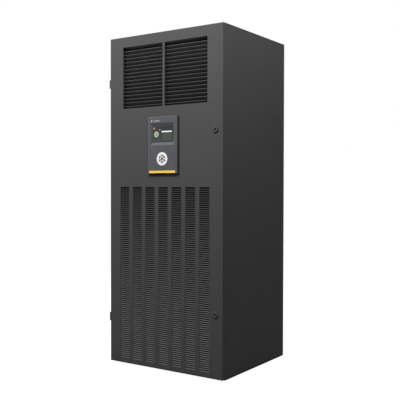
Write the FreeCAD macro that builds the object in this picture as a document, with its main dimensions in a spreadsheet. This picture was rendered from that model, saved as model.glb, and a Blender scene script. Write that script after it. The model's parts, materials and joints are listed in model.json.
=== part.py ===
import FreeCAD, Part
import os
import re
from collections import namedtuple
from math import sqrt

import Sketcher
from FreeCAD import Vector

# A floor-standing precision cooling unit: a sheet-metal cabinet whose whole front is one door.
# Air enters the slatted windows low in the door, passes the filter and the evaporator coil, and a
# double-inlet blower sends it out through the adjustable louvre at the top of the door.
# +X is right seen from the front, the front faces -Y and +Z is up. The origin is on the floor under
# the middle of the unit's outer box. Sizes are millimetres and degrees.

SIZES = {
    # Cabinet
    "cabinet_wide": 700,
    "cabinet_deep": 625,
    "cabinet_tall": 1700,
    "datum": 10.5,
    "sheet": 1.5,
    "tray_sheet": 2,
    "thin_sheet": 1.2,
    "bend": 2,
    "fit_gap": 0.2,
    "edge_gap": 0.5,
    "bite": 1,
    "panel_low": 5,
    "panel_head_gap": 3,
    "flange": 22,
    "rear_strip": 10,
    "front_post_deep": 37.5,
    "rear_post_wide": 40,
    "head_deep": 28,
    "seal_gap": 3,
    "seal_play": 0.3,
    "seal_wide": 15,
    "seal_edge": 4,
    # Base
    "foot_tall": 5,
    "foot_radius": 18,
    "foot_edge": 1.8,
    "stem_radius": 5,
    "stem_high": 24,
    "foot_across": 318,
    "foot_front": -255,
    "foot_rear": 250,
    "tray_wall": 55,
    "anchor_across": 315,
    "anchor_front": -225,
    "anchor_rear": 285,
    "anchor_radius": 6,
    # Rear service cut-out
    "service_left": -290,
    "service_right": -40,
    "service_low": 56,
    "service_high": 195,
    "stub_end": 310,
    "collar_long": 28,
    "collar_step": 3,
    # Door
    "door_deep": 20,
    "door_low": 9,
    "door_head_gap": 0.5,
    "door_lip": 15,
    "hinge_gap": 1.7,
    # Supply opening in the door
    "supply_wide": 524,
    "supply_low": 1330,
    "supply_high": 1646,
    "mullion": 13,
    "grille_rail_at": 268,
    "grille_rail": 3,
    "grille_flange": 11,
    "grille_sill": 12,
    "grille_deep": 34.5,
    "stiffener_wide": 10,
    "stiffener_deep": 4.5,
    # Louvre blades
    "blade_count": 16,
    "blade_first": 1335,
    "blade_pitch": 18.96,
    "blade_chord": 23,
    "blade_thick": 2.6,
    "blade_nose": 1.4,
    "blade_play": 0.8,
    "blade_tilt": 45,
    "pivot_back": 18.5,
    "pin_radius": 1.5,
    "pin_end": 0.4,
    "running_fit": 0.05,
    "crank_reach": 11,
    "crank_wide": 7,
    "crank_thick": 2,
    "link_wide": 8,
    "link_thick": 2.5,
    "link_play": 0.4,
    # Return windows and the slats behind them
    "window_count": 7,
    "window_wide": 58,
    "window_pitch": 82.65,
    "window_shift": -2.6,
    "window_low": 36,
    "window_high": 925,
    "slat_count": 86,
    "slat_first": 36.2,
    "slat_pitch": 10.322,
    "slat_deep": 10,
    "slat_lip": 3.2,
    "slat_edge": 1.2,
    "slat_half": 284,
    "slat_play": 0.4,
    "slat_sill": 2,
    "cheek_deep": 11,
    "return_flange": 9,
    # Display
    "display_wide": 185,
    "display_low": 987.5,
    "display_high": 1277,
    "display_deep": 12,
    "display_rim": 4,
    "display_flank": 11,
    "display_crown": 2.2,
    "display_foot": 6.5,
    "recess_half": 72.5,
    "recess_low": 1134,
    "recess_high": 1245,
    "recess_deep": 7,
    "screen_half": 63,
    "screen_low": 1150,
    "screen_high": 1228,
    "screen_thick": 1.5,
    "bar_low": 995,
    "bar_tall": 12.2,
    "bar_thick": 0.8,
    "boss_radius": 15,
    "boss_deep": 12,
    "boss_play": 0.5,
    # Hinges
    "hinge_low": 220,
    "hinge_rise": 1222,
    "hinge_tall": 43,
    "knuckle": 14,
    "knuckle_radius": 3.6,
    "knuckle_play": 0.4,
    "knuckle_root": 2.6,
    "hinge_out": 2.2,
    "hinge_back": 2,
    "hinge_pin_radius": 1.6,
    "pin_lift": 0.1,
    "pin_head": 2.6,
    "pin_head_tall": 1.5,
    "leaf": 1.6,
    "door_leaf": 1.4,
    "leaf_end": -240,
    "door_leaf_long": 16,
    # Latches
    "latch_across": 309,
    "latch_low": 319.5,
    "latch_rise": 879.5,
    "latch_boss": 14,
    "latch_proud": 6,
    "latch_edge": 1.6,
    "latch_barrel": 9,
    "latch_barrel_deep": 19,
    "latch_core": 6.15,
    "latch_bore": 6.2,
    "latch_nut": 13.8,
    "latch_nut_thick": 5,
    "core_back": 3.2,
    "key_half": 3.5,
    "key_deep": 8,
    "cam_behind": 2,
    "cam_thick": 3,
    "cam_half": 7,
    "cam_reach": 31,
    "cam_heel": 9,
    "cam_corner": 3,
    "seat_gap": 0.05,
    # Air filter
    "filter_front": -268,
    "filter_deep": 25,
    "filter_half": 324,
    "filter_high": 970,
    "filter_rim": 22,
    "pleat_count": 31,
    "media_thick": 1.2,
    "media_inset": 2,
    # Evaporator coil and drain pan
    "pan_front": -210,
    "pan_rear": -90,
    "pan_tall": 32,
    "drain_across": -250,
    "drain_high": 78,
    "drain_radius": 10,
    "drain_bore": 8.5,
    "coil_front": -200,
    "coil_rear": -100,
    "coil_half": 288,
    "coil_low": 98,
    "coil_high": 922,
    "fin_count": 31,
    "fin_thick": 1,
    "fin_inset": 9,
    "header_out": 305,
    "header_low": 150,
    "header_high": 880,
    "suction_header_at": -125,
    "suction_header_radius": 11,
    "liquid_header_at": -170,
    "liquid_header_radius": 8,
    "circuit_count": 5,
    "circuit_radius": 5,
    "header_stub": 15,
    # Compressor and refrigerant lines
    "compressor_across": 190,
    "compressor_back": 170,
    "compressor_radius": 75,
    "compressor_low": 38,
    "compressor_foot": 6,
    "compressor_high": 400,
    "dome_high": 34,
    "dome_low": 22,
    "foot_margin": 20,
    "terminal_half": 28,
    "terminal_low": 230,
    "terminal_high": 310,
    "terminal_deep": 30,
    "mount_across": 75,
    "mount_radius": 14,
    "mount_waist": 11,
    "waist_half": 4,
    "discharge_radius": 8,
    "discharge_start": 425,
    "discharge_level": 500,
    "discharge_across": -190,
    "suction_radius": 9.5,
    "suction_level": 300,
    "suction_start": -105,
    "suction_end": 272,
    "liquid_radius": 6,
    "liquid_across": -130,
    "liquid_back": 60,
    "liquid_level": 620,
    "stub_level": 140,
    "pipe_bend": 30,
    "stub_bore": 20,
    "drier_low": 262,
    "drier_high": 400,
    "drier_radius": 30,
    "drier_neck": 12,
    "drier_cone": 30,
    "drier_wall": 2,
    "valve_low": 470,
    "valve_high": 530,
    "valve_radius": 13,
    "valve_head": 24,
    "valve_stem": 14,
    "valve_cap": 10,
    "valve_step": 3,
    # Fan deck, blower and plenum
    "deck_low": 1312,
    "deck_front": -262,
    "deck_notch": 326,
    "deck_lip": 15,
    "deck_step": 2,
    "deck_hole_near": 145,
    "deck_hole_far": 335,
    "deck_hole_front": -60,
    "deck_hole_rear": 240,
    "blower_back": 60,
    "blower_high": 1490,
    "blower_half": 131,
    "scroll_radius": 132,
    "scroll_growth": 15,
    "outlet_at": -120,
    "inlet_radius": 98,
    "leg_below": 12,
    "wheel_radius": 112,
    "wheel_inner": 92,
    "wheel_half": 115,
    "wheel_ring": 4,
    "wheel_disc": 1.5,
    "vane_count": 32,
    "vane_slot": 13,
    "vane_bite": 6,
    "rotor_radius": 46,
    "rotor_half": 48,
    "rotor_edge": 6,
    "rotor_bore": 10.5,
    "shaft_radius": 10,
    "arm_thick": 6,
    "arm_reach": 115,
    "arm_half": 18,
    "plenum_front": -260,
    "plenum_low": 1330,
    "plenum_high": 1650,
    "plenum_half": 268,
    "plenum_rim_half": 290,
    "plenum_rim_high": 1666,
    # Control box
    "box_low": 975,
    "box_high": 1300,
    "box_front": -262,
    "box_rear": -150,
    "cover_play": 0.3,
    "rail_half": 250,
    "rail_low": 1110,
    "rail_tall": 35,
    "rail_deep": 7.5,
    "contactor_left": -225,
    "contactor_wide": 45,
    "contactor_low": 1085,
    "contactor_tall": 85,
    "contactor_deep": 50,
    "contactor_pitch": 52,
    "contactor_count": 3,
    "plunger_low": 1105,
    "plunger_tall": 45,
    "plunger_deep": 22,
    "terminals_left": -40,
    "terminals_right": 130,
    "terminals_low": 1100,
    "terminals_high": 1155,
    "terminals_deep": 44,
    "isolator_across": 230,
    "isolator_high": 1130,
    "isolator_front": -222,
    "isolator_half": 35,
    "isolator_reach": 40,
    "knob_radius": 23,
    "knob_base": 8,
    "knob_tall": 21,
    "knob_grip": 6,
    "knob_play": 1,
    "knob_edge": 1.5,
    "knob_shaft": 5,
    "knob_shaft_long": 36,
    "knob_hole": 6,
}

# Planes and edges that several pieces share, worked out from the sizes above.
PLACES = {
    "front": "datum - cabinet_deep / 2",
    "back": "datum + cabinet_deep / 2",
    "stand": "display_deep / 2 - datum",
    "skin_back": "front + sheet",
    "door_back": "front + door_deep",
    "frame": "door_back + seal_gap",
    "frame_back": "frame + sheet",
    "post_back": "frame_back + front_post_deep",
    "side": "cabinet_wide / 2",
    "inside": "side - sheet",
    "flange_in": "side - flange",
    "panel_end": "back - rear_strip",
    "panel_high": "cabinet_tall - sheet - panel_head_gap",
    "top_under": "cabinet_tall - sheet",
    "head_low": "top_under - head_deep",
    "tray_top": "foot_tall + tray_wall",
    "tray_rear": "panel_end - sheet",
    "door_left": "hinge_gap - side",
    "door_high": "cabinet_tall - door_head_gap",
    "display_face": "front - display_deep",
    "screen_floor": "display_face + recess_deep",
    "pivot": "front + pivot_back",
    "rail_out": "grille_rail_at + grille_rail",
    "crank_at": "rail_out + edge_gap",
    "link_at": "crank_at + crank_thick + link_play",
    "hinge_x": "0 - side - hinge_out",
    "hinge_y": "front + hinge_back",
    "core_front": "front - latch_proud + core_back",
    "cam_front": "frame_back + cam_behind",
    "cover_front": "box_front - sheet",
    "filter_back": "filter_front + filter_deep",
    "scroll_top": "blower_high + 3 * scroll_growth + scroll_radius",
}

doc = FreeCAD.newDocument("precision_cooling_unit")
sheet = doc.addObject("Spreadsheet::Sheet", "Sizes")
for row, (alias, number) in enumerate(SIZES.items(), start=1):
    sheet.set(f"A{row}", alias)
    sheet.set(f"B{row}", str(number))
    sheet.setAlias(f"B{row}", alias)
doc.recompute()

Circle = namedtuple("Circle", "across up radius")
PLANE_SIGN = {"XY_Plane": 1, "XZ_Plane": -1, "YZ_Plane": 1}
pieces = []


def ex(text):
    """Expression in which every size and shared place is spelt out as spreadsheet cells."""
    def spell(word):
        name = word.group(0)
        if name in PLACES:
            return f"({ex(PLACES[name])})"
        return f"Sizes.{name}" if name in SIZES else name
    return re.sub(r"[a-z_]+", spell, str(text))


def size(text):
    """Value of an expression in millimetres."""
    return float(sheet.evalExpression(ex(text)))


def new_body(label):
    """Body of one piece, labelled with the piece's name."""
    body = doc.addObject("PartDesign::Body", label)
    body.Label = label
    pieces.append(body)
    return body


def new_shape(label, shape):
    """Piece whose shape comes from direct construction."""
    feature = doc.addObject("Part::Feature", label)
    feature.Label = label
    feature.Shape = shape.translated(Vector(0, size("stand"), 0))
    pieces.append(feature)
    return feature


def origin(body, role):
    """Plane or axis of the body's own origin."""
    return next(item for item in body.Origin.OriginFeatures if item.Role == role)


def fix_point(sketch, geometry, position, name, across, up):
    """Ties one point of a sketch to the sketch's origin by two driven distances."""
    for kind, axis, text in (("DistanceX", "across", across), ("DistanceY", "up", up)):
        constraint = Sketcher.Constraint(kind, -1, 1, geometry, position, size(text))
        index = sketch.addConstraint(constraint)
        sketch.renameConstraint(index, f"{name}_{axis}")
        sketch.setExpression(f"Constraints.{name}_{axis}", ex(text))


def draw_circle(sketch, name, circle):
    """Driven circle."""
    centre = Vector(size(circle.across), size(circle.up), 0)
    geometry = sketch.addGeometry(Part.Circle(centre, Vector(0, 0, 1), size(circle.radius)))
    fix_point(sketch, geometry, 3, name, circle.across, circle.up)
    constraint = Sketcher.Constraint("Radius", geometry, size(circle.radius))
    index = sketch.addConstraint(constraint)
    sketch.renameConstraint(index, f"{name}_radius")
    sketch.setExpression(f"Constraints.{name}_radius", ex(circle.radius))


def draw_polygon(sketch, name, points):
    """Closed driven polygon."""
    corners = [Vector(size(across), size(up), 0) for across, up in points]
    first = sketch.GeometryCount
    for here, there in zip(corners, corners[1:] + corners[:1]):
        sketch.addGeometry(Part.LineSegment(here, there))
    for index, (across, up) in enumerate(points):
        following = first + (index + 1) % len(points)
        sketch.addConstraint(Sketcher.Constraint("Coincident", first + index, 2, following, 1))
        fix_point(sketch, first + index, 1, f"{name}_{index}", across, up)


def draw(body, plane, at, loops):
    """Sketch of circles and polygons on a plane of the body, moved to a place along its axis."""
    sketch = body.newObject("Sketcher::SketchObject", f"{body.Label}_sketch")
    sketch.AttachmentSupport = [(origin(body, plane), "")]
    sketch.MapMode = "FlatFace"
    sketch.setExpression("AttachmentOffset.Base.z", ex(f"{PLANE_SIGN[plane]} * ({at})"))
    for number, loop in enumerate(loops):
        if isinstance(loop, Circle):
            draw_circle(sketch, f"circle{number}", loop)
        else:
            draw_polygon(sketch, f"loop{number}", loop)
    return sketch


def pad(body, plane, start, end, *loops):
    """Adds material between two places along the plane's axis."""
    feature = body.newObject("PartDesign::Pad", f"{body.Label}_pad")
    feature.Profile = draw(body, plane, start, loops)
    feature.setExpression("Length", ex(f"({end}) - ({start})"))
    feature.Reversed = PLANE_SIGN[plane] < 0
    body.Tip = feature
    return feature


def cut(body, plane, start, end, *loops):
    """Removes material between two places along the plane's axis."""
    doc.recompute()
    before = body.Shape.Volume
    feature = body.newObject("PartDesign::Pocket", f"{body.Label}_cut")
    feature.Profile = draw(body, plane, start, loops)
    feature.setExpression("Length", ex(f"({end}) - ({start})"))
    feature.Reversed = PLANE_SIGN[plane] > 0
    body.Tip = feature
    doc.recompute()
    if not body.Shape.Volume < before:
        raise RuntimeError(f"{body.Label}: a cut removes nothing")
    return feature


def revolve(body, plane, axis, *loops):
    """Adds a full turn of a profile about an axis of the body."""
    feature = body.newObject("PartDesign::Revolution", f"{body.Label}_turn")
    feature.Profile = draw(body, plane, "0", loops)
    feature.ReferenceAxis = (origin(body, axis), [""])
    feature.Angle = 360
    body.Tip = feature
    return feature


def repeat(body, features, axis, spacing, count):
    """Row of equally spaced copies along an axis."""
    doc.recompute()
    feature = body.newObject("PartDesign::LinearPattern", f"{body.Label}_row")
    feature.Originals = features
    feature.Direction = (origin(body, axis), [""])
    feature.setExpression("Length", ex(f"({spacing}) * (({count}) - 1)"))
    feature.setExpression("Occurrences", ex(count))
    body.Tip = feature
    return feature


def repeat_round(body, features, axis, count):
    """Ring of equally spaced copies about an axis."""
    doc.recompute()
    feature = body.newObject("PartDesign::PolarPattern", f"{body.Label}_ring")
    feature.Originals = features
    feature.Axis = (origin(body, axis), [""])
    feature.Angle = 360
    feature.setExpression("Occurrences", ex(count))
    body.Tip = feature
    return feature


def loft(body, kind, *sections):
    """Tapered form between sections, each a place along Y and an outline seen from the front."""
    sketches = [draw(body, "XZ_Plane", at, [outline]) for at, outline in sections]
    feature = body.newObject(kind, f"{body.Label}_loft")
    feature.Profile = sketches[0]
    feature.Sections = sketches[1:]
    feature.Ruled = True
    body.Tip = feature
    return feature


def soften(body, kind, amount, wanted):
    """Rounds or bevels the edges that the test picks out."""
    doc.recompute()
    edges = [f"Edge{number}" for number, edge in enumerate(body.Shape.Edges, start=1) if wanted(edge)]
    if not edges:
        raise RuntimeError(f"{body.Label}: no edge to soften")
    feature = body.newObject(kind, f"{body.Label}_edge")
    feature.Base = (feature.BaseFeature or body.Tip, edges)
    feature.setExpression("Radius" if kind.endswith("Fillet") else "Size", ex(amount))
    body.Tip = feature
    return feature


def stands_at(x, y):
    """Test for a straight upright edge through a point seen from above."""
    def wanted(edge):
        ends = [vertex.Point for vertex in edge.Vertexes]
        return all(abs(end.x - x) < 0.01 and abs(end.y - y) < 0.01 for end in ends)
    return wanted


def lies_in(x=None, y=None, z=None):
    """Test for an edge whose points all share the given coordinates."""
    def wanted(edge):
        box = edge.BoundBox
        spans = ((x, box.XMin, box.XMax), (y, box.YMin, box.YMax), (z, box.ZMin, box.ZMax))
        return all(
            place is None or abs(low - place) + abs(high - place) < 0.02 for place, low, high in spans
        )
    return wanted


def rect(left, right, low, high):
    """Rectangle."""
    return [(left, low), (right, low), (right, high), (left, high)]


def mirrored_rect(half, low, high):
    """Rectangle centred across."""
    return rect(f"0 - ({half})", half, low, high)


def turned(points, angle):
    """Points turned about the sketch's origin."""
    return [
        (f"({across}) * cos({angle}) - ({up}) * sin({angle})",
         f"({across}) * sin({angle}) + ({up}) * cos({angle})")
        for across, up in points
    ]


def corners(across, *places):
    """Equal circles' centres at both sides of the middle."""
    return [(f"{side} * ({across})", place) for side in (-1, 1) for place in places]


# Cabinet

def base_tray():
    """Folded floor tray with a front apron, a lip that carries the posts, and the anchor holes."""
    body = new_body("base_tray")
    feet = corners("foot_across", "foot_front", "foot_rear")
    anchors = corners("anchor_across", "anchor_front", "anchor_rear")
    pad(body, "XY_Plane", "foot_tall", "tray_top", mirrored_rect("inside", "frame_back", "tray_rear"))
    cut(body, "XY_Plane", "foot_tall + tray_sheet", "tray_top",
        mirrored_rect("inside - tray_sheet", "frame_back + tray_sheet", "tray_rear - tray_sheet"))
    pad(body, "XY_Plane", "tray_top - tray_sheet", "tray_top",
        mirrored_rect("inside - tray_sheet / 2", "frame_back + tray_sheet / 2", "post_back"))
    pad(body, "XY_Plane", "foot_tall", "tray_top",
        mirrored_rect("flange_in - fit_gap", "frame", "frame_back"))
    cut(body, "XY_Plane", "foot_tall", "foot_tall + tray_sheet",
        *[Circle(x, y, "anchor_radius") for x, y in anchors],
        *[Circle(x, y, "stem_radius + fit_gap") for x, y in feet])


def levelling_feet():
    """Four round pads on threaded stems."""
    body = new_body("levelling_feet")
    places = corners("foot_across", "foot_front", "foot_rear")
    pad(body, "XY_Plane", "0", "foot_tall", *[Circle(x, y, "foot_radius") for x, y in places])
    soften(body, "PartDesign::Chamfer", "foot_edge", lies_in(z=size("foot_tall")))
    pad(body, "XY_Plane", "foot_tall", "stem_high", *[Circle(x, y, "stem_radius") for x, y in places])


def side_panel(label, hand):
    """Side wall folded inward at its front and rear edges."""
    body = new_body(label)
    section = [
        ("flange_in", "frame"), ("side", "frame"), ("side", "panel_end"), ("flange_in", "panel_end"),
        ("flange_in", "panel_end - sheet"), ("inside", "panel_end - sheet"),
        ("inside", "frame_back"), ("flange_in", "frame_back"),
    ]
    pad(body, "XY_Plane", "panel_low", "panel_high", [(f"{hand} * ({x})", y) for x, y in section])
    x = hand * size("side")
    bends = stands_at(x, size("frame")), stands_at(x, size("panel_end"))
    soften(body, "PartDesign::Fillet", "bend", lambda edge: any(test(edge) for test in bends))


def rear_panel():
    """Flat back wall with the cut-out where pipes and cables leave."""
    body = new_body("rear_panel")
    service = rect("service_left", "service_right", "service_low", "service_high")
    pad(body, "XZ_Plane", "back - sheet", "back", mirrored_rect("side", "panel_low", "top_under"))
    cut(body, "XZ_Plane", "back - sheet", "back", service)


def top_panel():
    """Lid with turned-down edges and the rail above the door opening."""
    body = new_body("top_panel")
    rear = "back - sheet"
    lip_low = "panel_high - head_deep + panel_head_gap"
    pad(body, "XY_Plane", "top_under", "cabinet_tall", mirrored_rect("side", "frame", "back"))
    pad(body, "XY_Plane", lip_low, "top_under",
        rect("inside - sheet", "inside", "frame_back", "tray_rear"),
        rect("0 - inside", "sheet - inside", "frame_back", "tray_rear"))
    pad(body, "XY_Plane", "head_low", "top_under",
        mirrored_rect("flange_in - fit_gap", "frame", "frame_back"))
    pad(body, "XY_Plane", "head_low", "top_under",
        mirrored_rect("side - rear_post_wide - edge_gap", f"{rear} - sheet", rear))


def corner_posts():
    """Four channel posts, open towards the middle of the cabinet."""
    body = new_body("corner_posts")
    front = [
        ("flange_in", "frame_back"), ("inside", "frame_back"),
        ("inside", "post_back"), ("flange_in", "post_back"),
        ("flange_in", "post_back - sheet"), ("inside - sheet", "post_back - sheet"),
        ("inside - sheet", "frame_back + sheet"), ("flange_in", "frame_back + sheet"),
    ]
    rear_in = "side - rear_post_wide"
    rear_wall = "back - sheet"
    rear = [
        (rear_in, "panel_end"), ("side", "panel_end"), ("side", rear_wall), (rear_in, rear_wall),
        (rear_in, f"{rear_wall} - sheet"), ("inside", f"{rear_wall} - sheet"),
        ("inside", "panel_end + sheet"), (rear_in, "panel_end + sheet"),
    ]
    for hand in (-1, 1):
        pad(body, "XY_Plane", "tray_top", "head_low", [(f"{hand} * ({x})", y) for x, y in front])
        pad(body, "XY_Plane", "panel_low", "top_under", [(f"{hand} * ({x})", y) for x, y in rear])


def door_seal():
    """Rubber ring round the door opening, just short of the closed door."""
    body = new_body("door_seal")
    outer = mirrored_rect("side - seal_edge", "door_low + seal_edge", "door_high - seal_edge")
    inner = mirrored_rect(
        "side - seal_edge - seal_wide",
        "door_low + seal_edge + seal_wide", "door_high - seal_edge - seal_wide")
    pad(body, "XZ_Plane", "door_back + seal_play", "frame", outer, inner)


# Hinges

def cabinet_hinge_leaves():
    """Fixed leaves on the left side panel, each with two knuckles."""
    body = new_body("cabinet_hinge_leaves")
    plate_front = "hinge_y + knuckle_radius + 2 * knuckle_play"
    top = "hinge_low + hinge_tall"
    features = [pad(body, "XY_Plane", "hinge_low", top,
                    rect("0 - side - leaf", "0 - side", plate_front, "leaf_end"))]
    for low, high in (("hinge_low", "hinge_low + knuckle"), (f"{top} - knuckle", top)):
        features.append(pad(body, "XY_Plane", low, high,
                            rect("0 - side - leaf", "0 - side",
                                 "hinge_y + knuckle_root", f"{plate_front} + bite")))
        features.append(pad(body, "XY_Plane", low, high,
                            Circle("hinge_x", "hinge_y", "knuckle_radius"),
                            Circle("hinge_x", "hinge_y", "hinge_pin_radius + running_fit / 2")))
    repeat(body, features, "Z_Axis", "hinge_rise", 2)


def hinge_pins():
    """Headed pins through the knuckles."""
    body = new_body("hinge_pins")
    top = "hinge_low + hinge_tall"
    seat = f"{top} + pin_lift"
    shank = pad(body, "XY_Plane", "hinge_low", seat, Circle("hinge_x", "hinge_y", "hinge_pin_radius"))
    head = pad(body, "XY_Plane", seat, f"{seat} + pin_head_tall", Circle("hinge_x", "hinge_y", "pin_head"))
    repeat(body, [shank, head], "Z_Axis", "hinge_rise", 2)


def door_hinge_leaves():
    """Moving leaves on the door's left edge, each with one knuckle between the fixed two."""
    body = new_body("door_hinge_leaves")
    low = "hinge_low + knuckle + knuckle_play"
    high = "hinge_low + hinge_tall - knuckle - knuckle_play"
    plate = pad(body, "XY_Plane", low, high,
                rect("door_left - door_leaf", "door_left", "hinge_y", "hinge_y + door_leaf_long"))
    knuckle = pad(body, "XY_Plane", low, high,
                  Circle("hinge_x", "hinge_y", "knuckle_radius"),
                  Circle("hinge_x", "hinge_y", "hinge_pin_radius + running_fit"))
    repeat(body, [plate, knuckle], "Z_Axis", "hinge_rise", 2)


# Door

def door_panel():
    """Folded door tray with the supply opening, the return windows and the holes for its fittings."""
    body = new_body("door_panel")
    outline = rect("door_left", "side", "door_low", "door_high")
    wall = rect("door_left + sheet", "side - sheet", "door_low + sheet", "door_high - sheet")
    lip = rect("door_left + door_lip", "side - door_lip", "door_low + door_lip", "door_high - door_lip")
    pad(body, "XZ_Plane", "front", "skin_back", outline)
    pad(body, "XZ_Plane", "skin_back", "door_back", outline, wall)
    pad(body, "XZ_Plane", "door_back - sheet", "door_back", outline, lip)
    soften(body, "PartDesign::Fillet", "bend", lambda edge: lies_in(y=size("front"))(edge))
    bank = ("mullion / 2", "supply_wide / 2", "supply_low", "supply_high")
    cut(body, "XZ_Plane", "front", "skin_back",
        rect(*bank), rect(f"0 - {bank[1]}", f"0 - {bank[0]}", *bank[2:]),
        *[Circle("latch_across", level, "latch_barrel + fit_gap")
          for level in ("latch_low", "latch_low + latch_rise")],
        Circle("0", "(display_low + display_high) / 2", "boss_radius + boss_play"))
    first = "window_shift - window_pitch * (window_count - 1) / 2"
    window = cut(body, "XZ_Plane", "front", "skin_back",
                 rect(f"{first} - window_wide / 2", f"{first} + window_wide / 2",
                      "window_low", "window_high"))
    repeat(body, [window], "X_Axis", "window_pitch", "window_count")


def return_grille():
    """Frame of slats behind the return windows; each slat is a folded strip with a lip and a level shelf."""
    body = new_body("return_grille")
    low = "window_low - slat_sill"
    high = "window_high + slat_sill"
    opening = mirrored_rect("slat_half", low, high)

    def ring(wide):
        return mirrored_rect(f"slat_half + {wide}", f"{low} - {wide}", f"{high} + {wide}")

    pad(body, "XZ_Plane", "skin_back", "skin_back + cheek_deep", ring("sheet"), opening)
    pad(body, "XZ_Plane", "skin_back", "skin_back + sheet", ring("return_flange"), opening)
    nose = "skin_back + slat_play"
    slat = pad(body, "YZ_Plane", "0 - slat_half - sheet / 2", "slat_half + sheet / 2", [
        (nose, "slat_first"), (f"{nose} + slat_edge", "slat_first"),
        (f"{nose} + slat_edge", "slat_first + slat_lip - slat_edge"),
        (f"{nose} + slat_deep", "slat_first + slat_lip - slat_edge"),
        (f"{nose} + slat_deep", "slat_first + slat_lip"), (nose, "slat_first + slat_lip"),
    ])
    repeat(body, [slat], "Z_Axis", "slat_pitch", "slat_count")


def supply_grille_frame():
    """Frame behind the supply opening that carries the blade pins, with a stiffener behind the mullion."""
    body = new_body("supply_grille_frame")
    low = "supply_low - grille_sill"
    high = "supply_high + grille_sill"
    back = "skin_back + grille_deep"
    inner = mirrored_rect("grille_rail_at", f"{low} + grille_rail", f"{high} - grille_rail")
    outer = mirrored_rect("rail_out", low, high)
    flange = mirrored_rect("rail_out + grille_flange", f"{low} - grille_flange", f"{high} + grille_flange")
    pad(body, "XZ_Plane", "skin_back", back, outer, inner)
    pad(body, "XZ_Plane", "skin_back", "skin_back + sheet", flange, inner)
    pad(body, "XZ_Plane", "skin_back", "skin_back + stiffener_deep",
        mirrored_rect("stiffener_wide / 2", f"{low} + bite", f"{high} - bite"))
    holes = cut(body, "YZ_Plane", "0 - rail_out", "rail_out",
                Circle("pivot", "blade_first", "pin_radius + running_fit"))
    repeat(body, [holes], "Z_Axis", "blade_pitch", "blade_count")


def louvre_blade(number):
    """Blade on end pins, with a crank beyond the right rail; its front edge stands high at rest."""
    body = new_body(f"louvre_blade_{number + 1:02d}")
    half = "blade_chord / 2"
    thick = "blade_thick / 2"
    section = [
        (f"0 - {half}", "0"), (f"blade_nose - {half}", f"0 - {thick}"),
        (f"{half} - blade_nose", f"0 - {thick}"),
        (half, "0"), (f"{half} - blade_nose", thick), (f"blade_nose - {half}", thick),
    ]
    end = "grille_rail_at - blade_play"
    crank_end = "crank_at + crank_thick"
    arm = "crank_wide / 2"
    pad(body, "YZ_Plane", f"0 - ({end})", end, turned(section, "0 - blade_tilt"))
    pad(body, "YZ_Plane", "pin_end - rail_out", "crank_at", Circle("0", "0", "pin_radius"))
    pad(body, "YZ_Plane", "crank_at", crank_end, [
        (f"0 - {arm}", f"0 - {arm} / 2"), (f"0 - {arm} / 2", f"0 - {arm}"),
        (f"crank_reach + {arm} / 2", f"0 - {arm}"),
        (f"crank_reach + {arm}", f"0 - {arm} / 2"), (f"crank_reach + {arm}", f"{arm} / 2"),
        (f"crank_reach + {arm} / 2", arm), (f"0 - {arm} / 2", arm), (f"0 - {arm}", f"{arm} / 2"),
    ])
    pad(body, "YZ_Plane", crank_end, "link_at + link_thick + edge_gap",
        Circle("crank_reach", "0", "pin_radius"))
    body.setExpression("Placement.Base.y", ex("pivot + stand"))
    body.setExpression("Placement.Base.z", ex(f"blade_first + {number} * blade_pitch"))


def louvre_link():
    """Bar that joins all the cranks, so the blades turn together."""
    body = new_body("louvre_link")
    at = "pivot + crank_reach"
    half = "link_wide / 2"
    last = "blade_first + blade_pitch * (blade_count - 1)"
    pad(body, "YZ_Plane", "link_at", "link_at + link_thick",
        rect(f"{at} - {half}", f"{at} + {half}", "blade_first - link_wide", f"{last} + link_wide"))
    hole = cut(body, "YZ_Plane", "link_at", "link_at + link_thick",
               Circle(at, "blade_first", "pin_radius + running_fit"))
    repeat(body, [hole], "Z_Axis", "blade_pitch", "blade_count")


# Display

def both_hands(points):
    """Open outline followed by its mirror image, as one closed loop."""
    return points + [(f"0 - ({x})", y) for x, y in reversed(points)]


def display_housing():
    """Moulded housing with sloping flanks and foot, a funnel-shaped recess and a rear boss."""
    body = new_body("display_housing")
    half = "display_wide / 2"
    pad(body, "XY_Plane", "display_low", "display_high", [
        (half, "front"), (half, "front - display_rim"), (f"{half} - display_flank", "display_face"),
        (f"display_flank - {half}", "display_face"), (f"0 - {half}", "front - display_rim"),
        (f"0 - {half}", "front"),
    ])
    face = size("display_face")
    soften(body, "PartDesign::Chamfer", "display_crown", lies_in(y=face, z=size("display_high")))
    soften(body, "PartDesign::Chamfer", "display_foot", lies_in(y=face, z=size("display_low")))
    loft(body, "PartDesign::SubtractiveLoft",
         ("display_face", mirrored_rect("recess_half", "recess_low", "recess_high")),
         ("screen_floor", mirrored_rect(
             "screen_half + edge_gap", "screen_low - edge_gap", "screen_high + edge_gap")))
    pad(body, "XZ_Plane", "front", "front + boss_deep",
        Circle("0", "(display_low + display_high) / 2", "boss_radius"))


def touch_screen():
    """Glass plate on the floor of the recess."""
    body = new_body("touch_screen")
    pad(body, "XZ_Plane", "screen_floor - screen_thick", "screen_floor",
        mirrored_rect("screen_half", "screen_low", "screen_high"))


def accent_bar():
    """Thin moulded strip across the foot of the display's face."""
    body = new_body("accent_bar")
    half = "display_wide / 2"
    pad(body, "XZ_Plane", "display_face - bar_thick", "display_face",
        rect(f"display_flank - {half}", f"{half} - display_flank", "bar_low", "bar_low + bar_tall"))
    soften(body, "PartDesign::Chamfer", "bar_thick / 2", lies_in(y=size("display_face - bar_thick")))


# Latches

def hexagon(across, up, radius):
    """Regular hexagon with a corner at each side."""
    return [
        (f"{across} + {radius} * cos({angle})", f"{up} + {radius} * sin({angle})")
        for angle in range(0, 360, 60)
    ]


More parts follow.
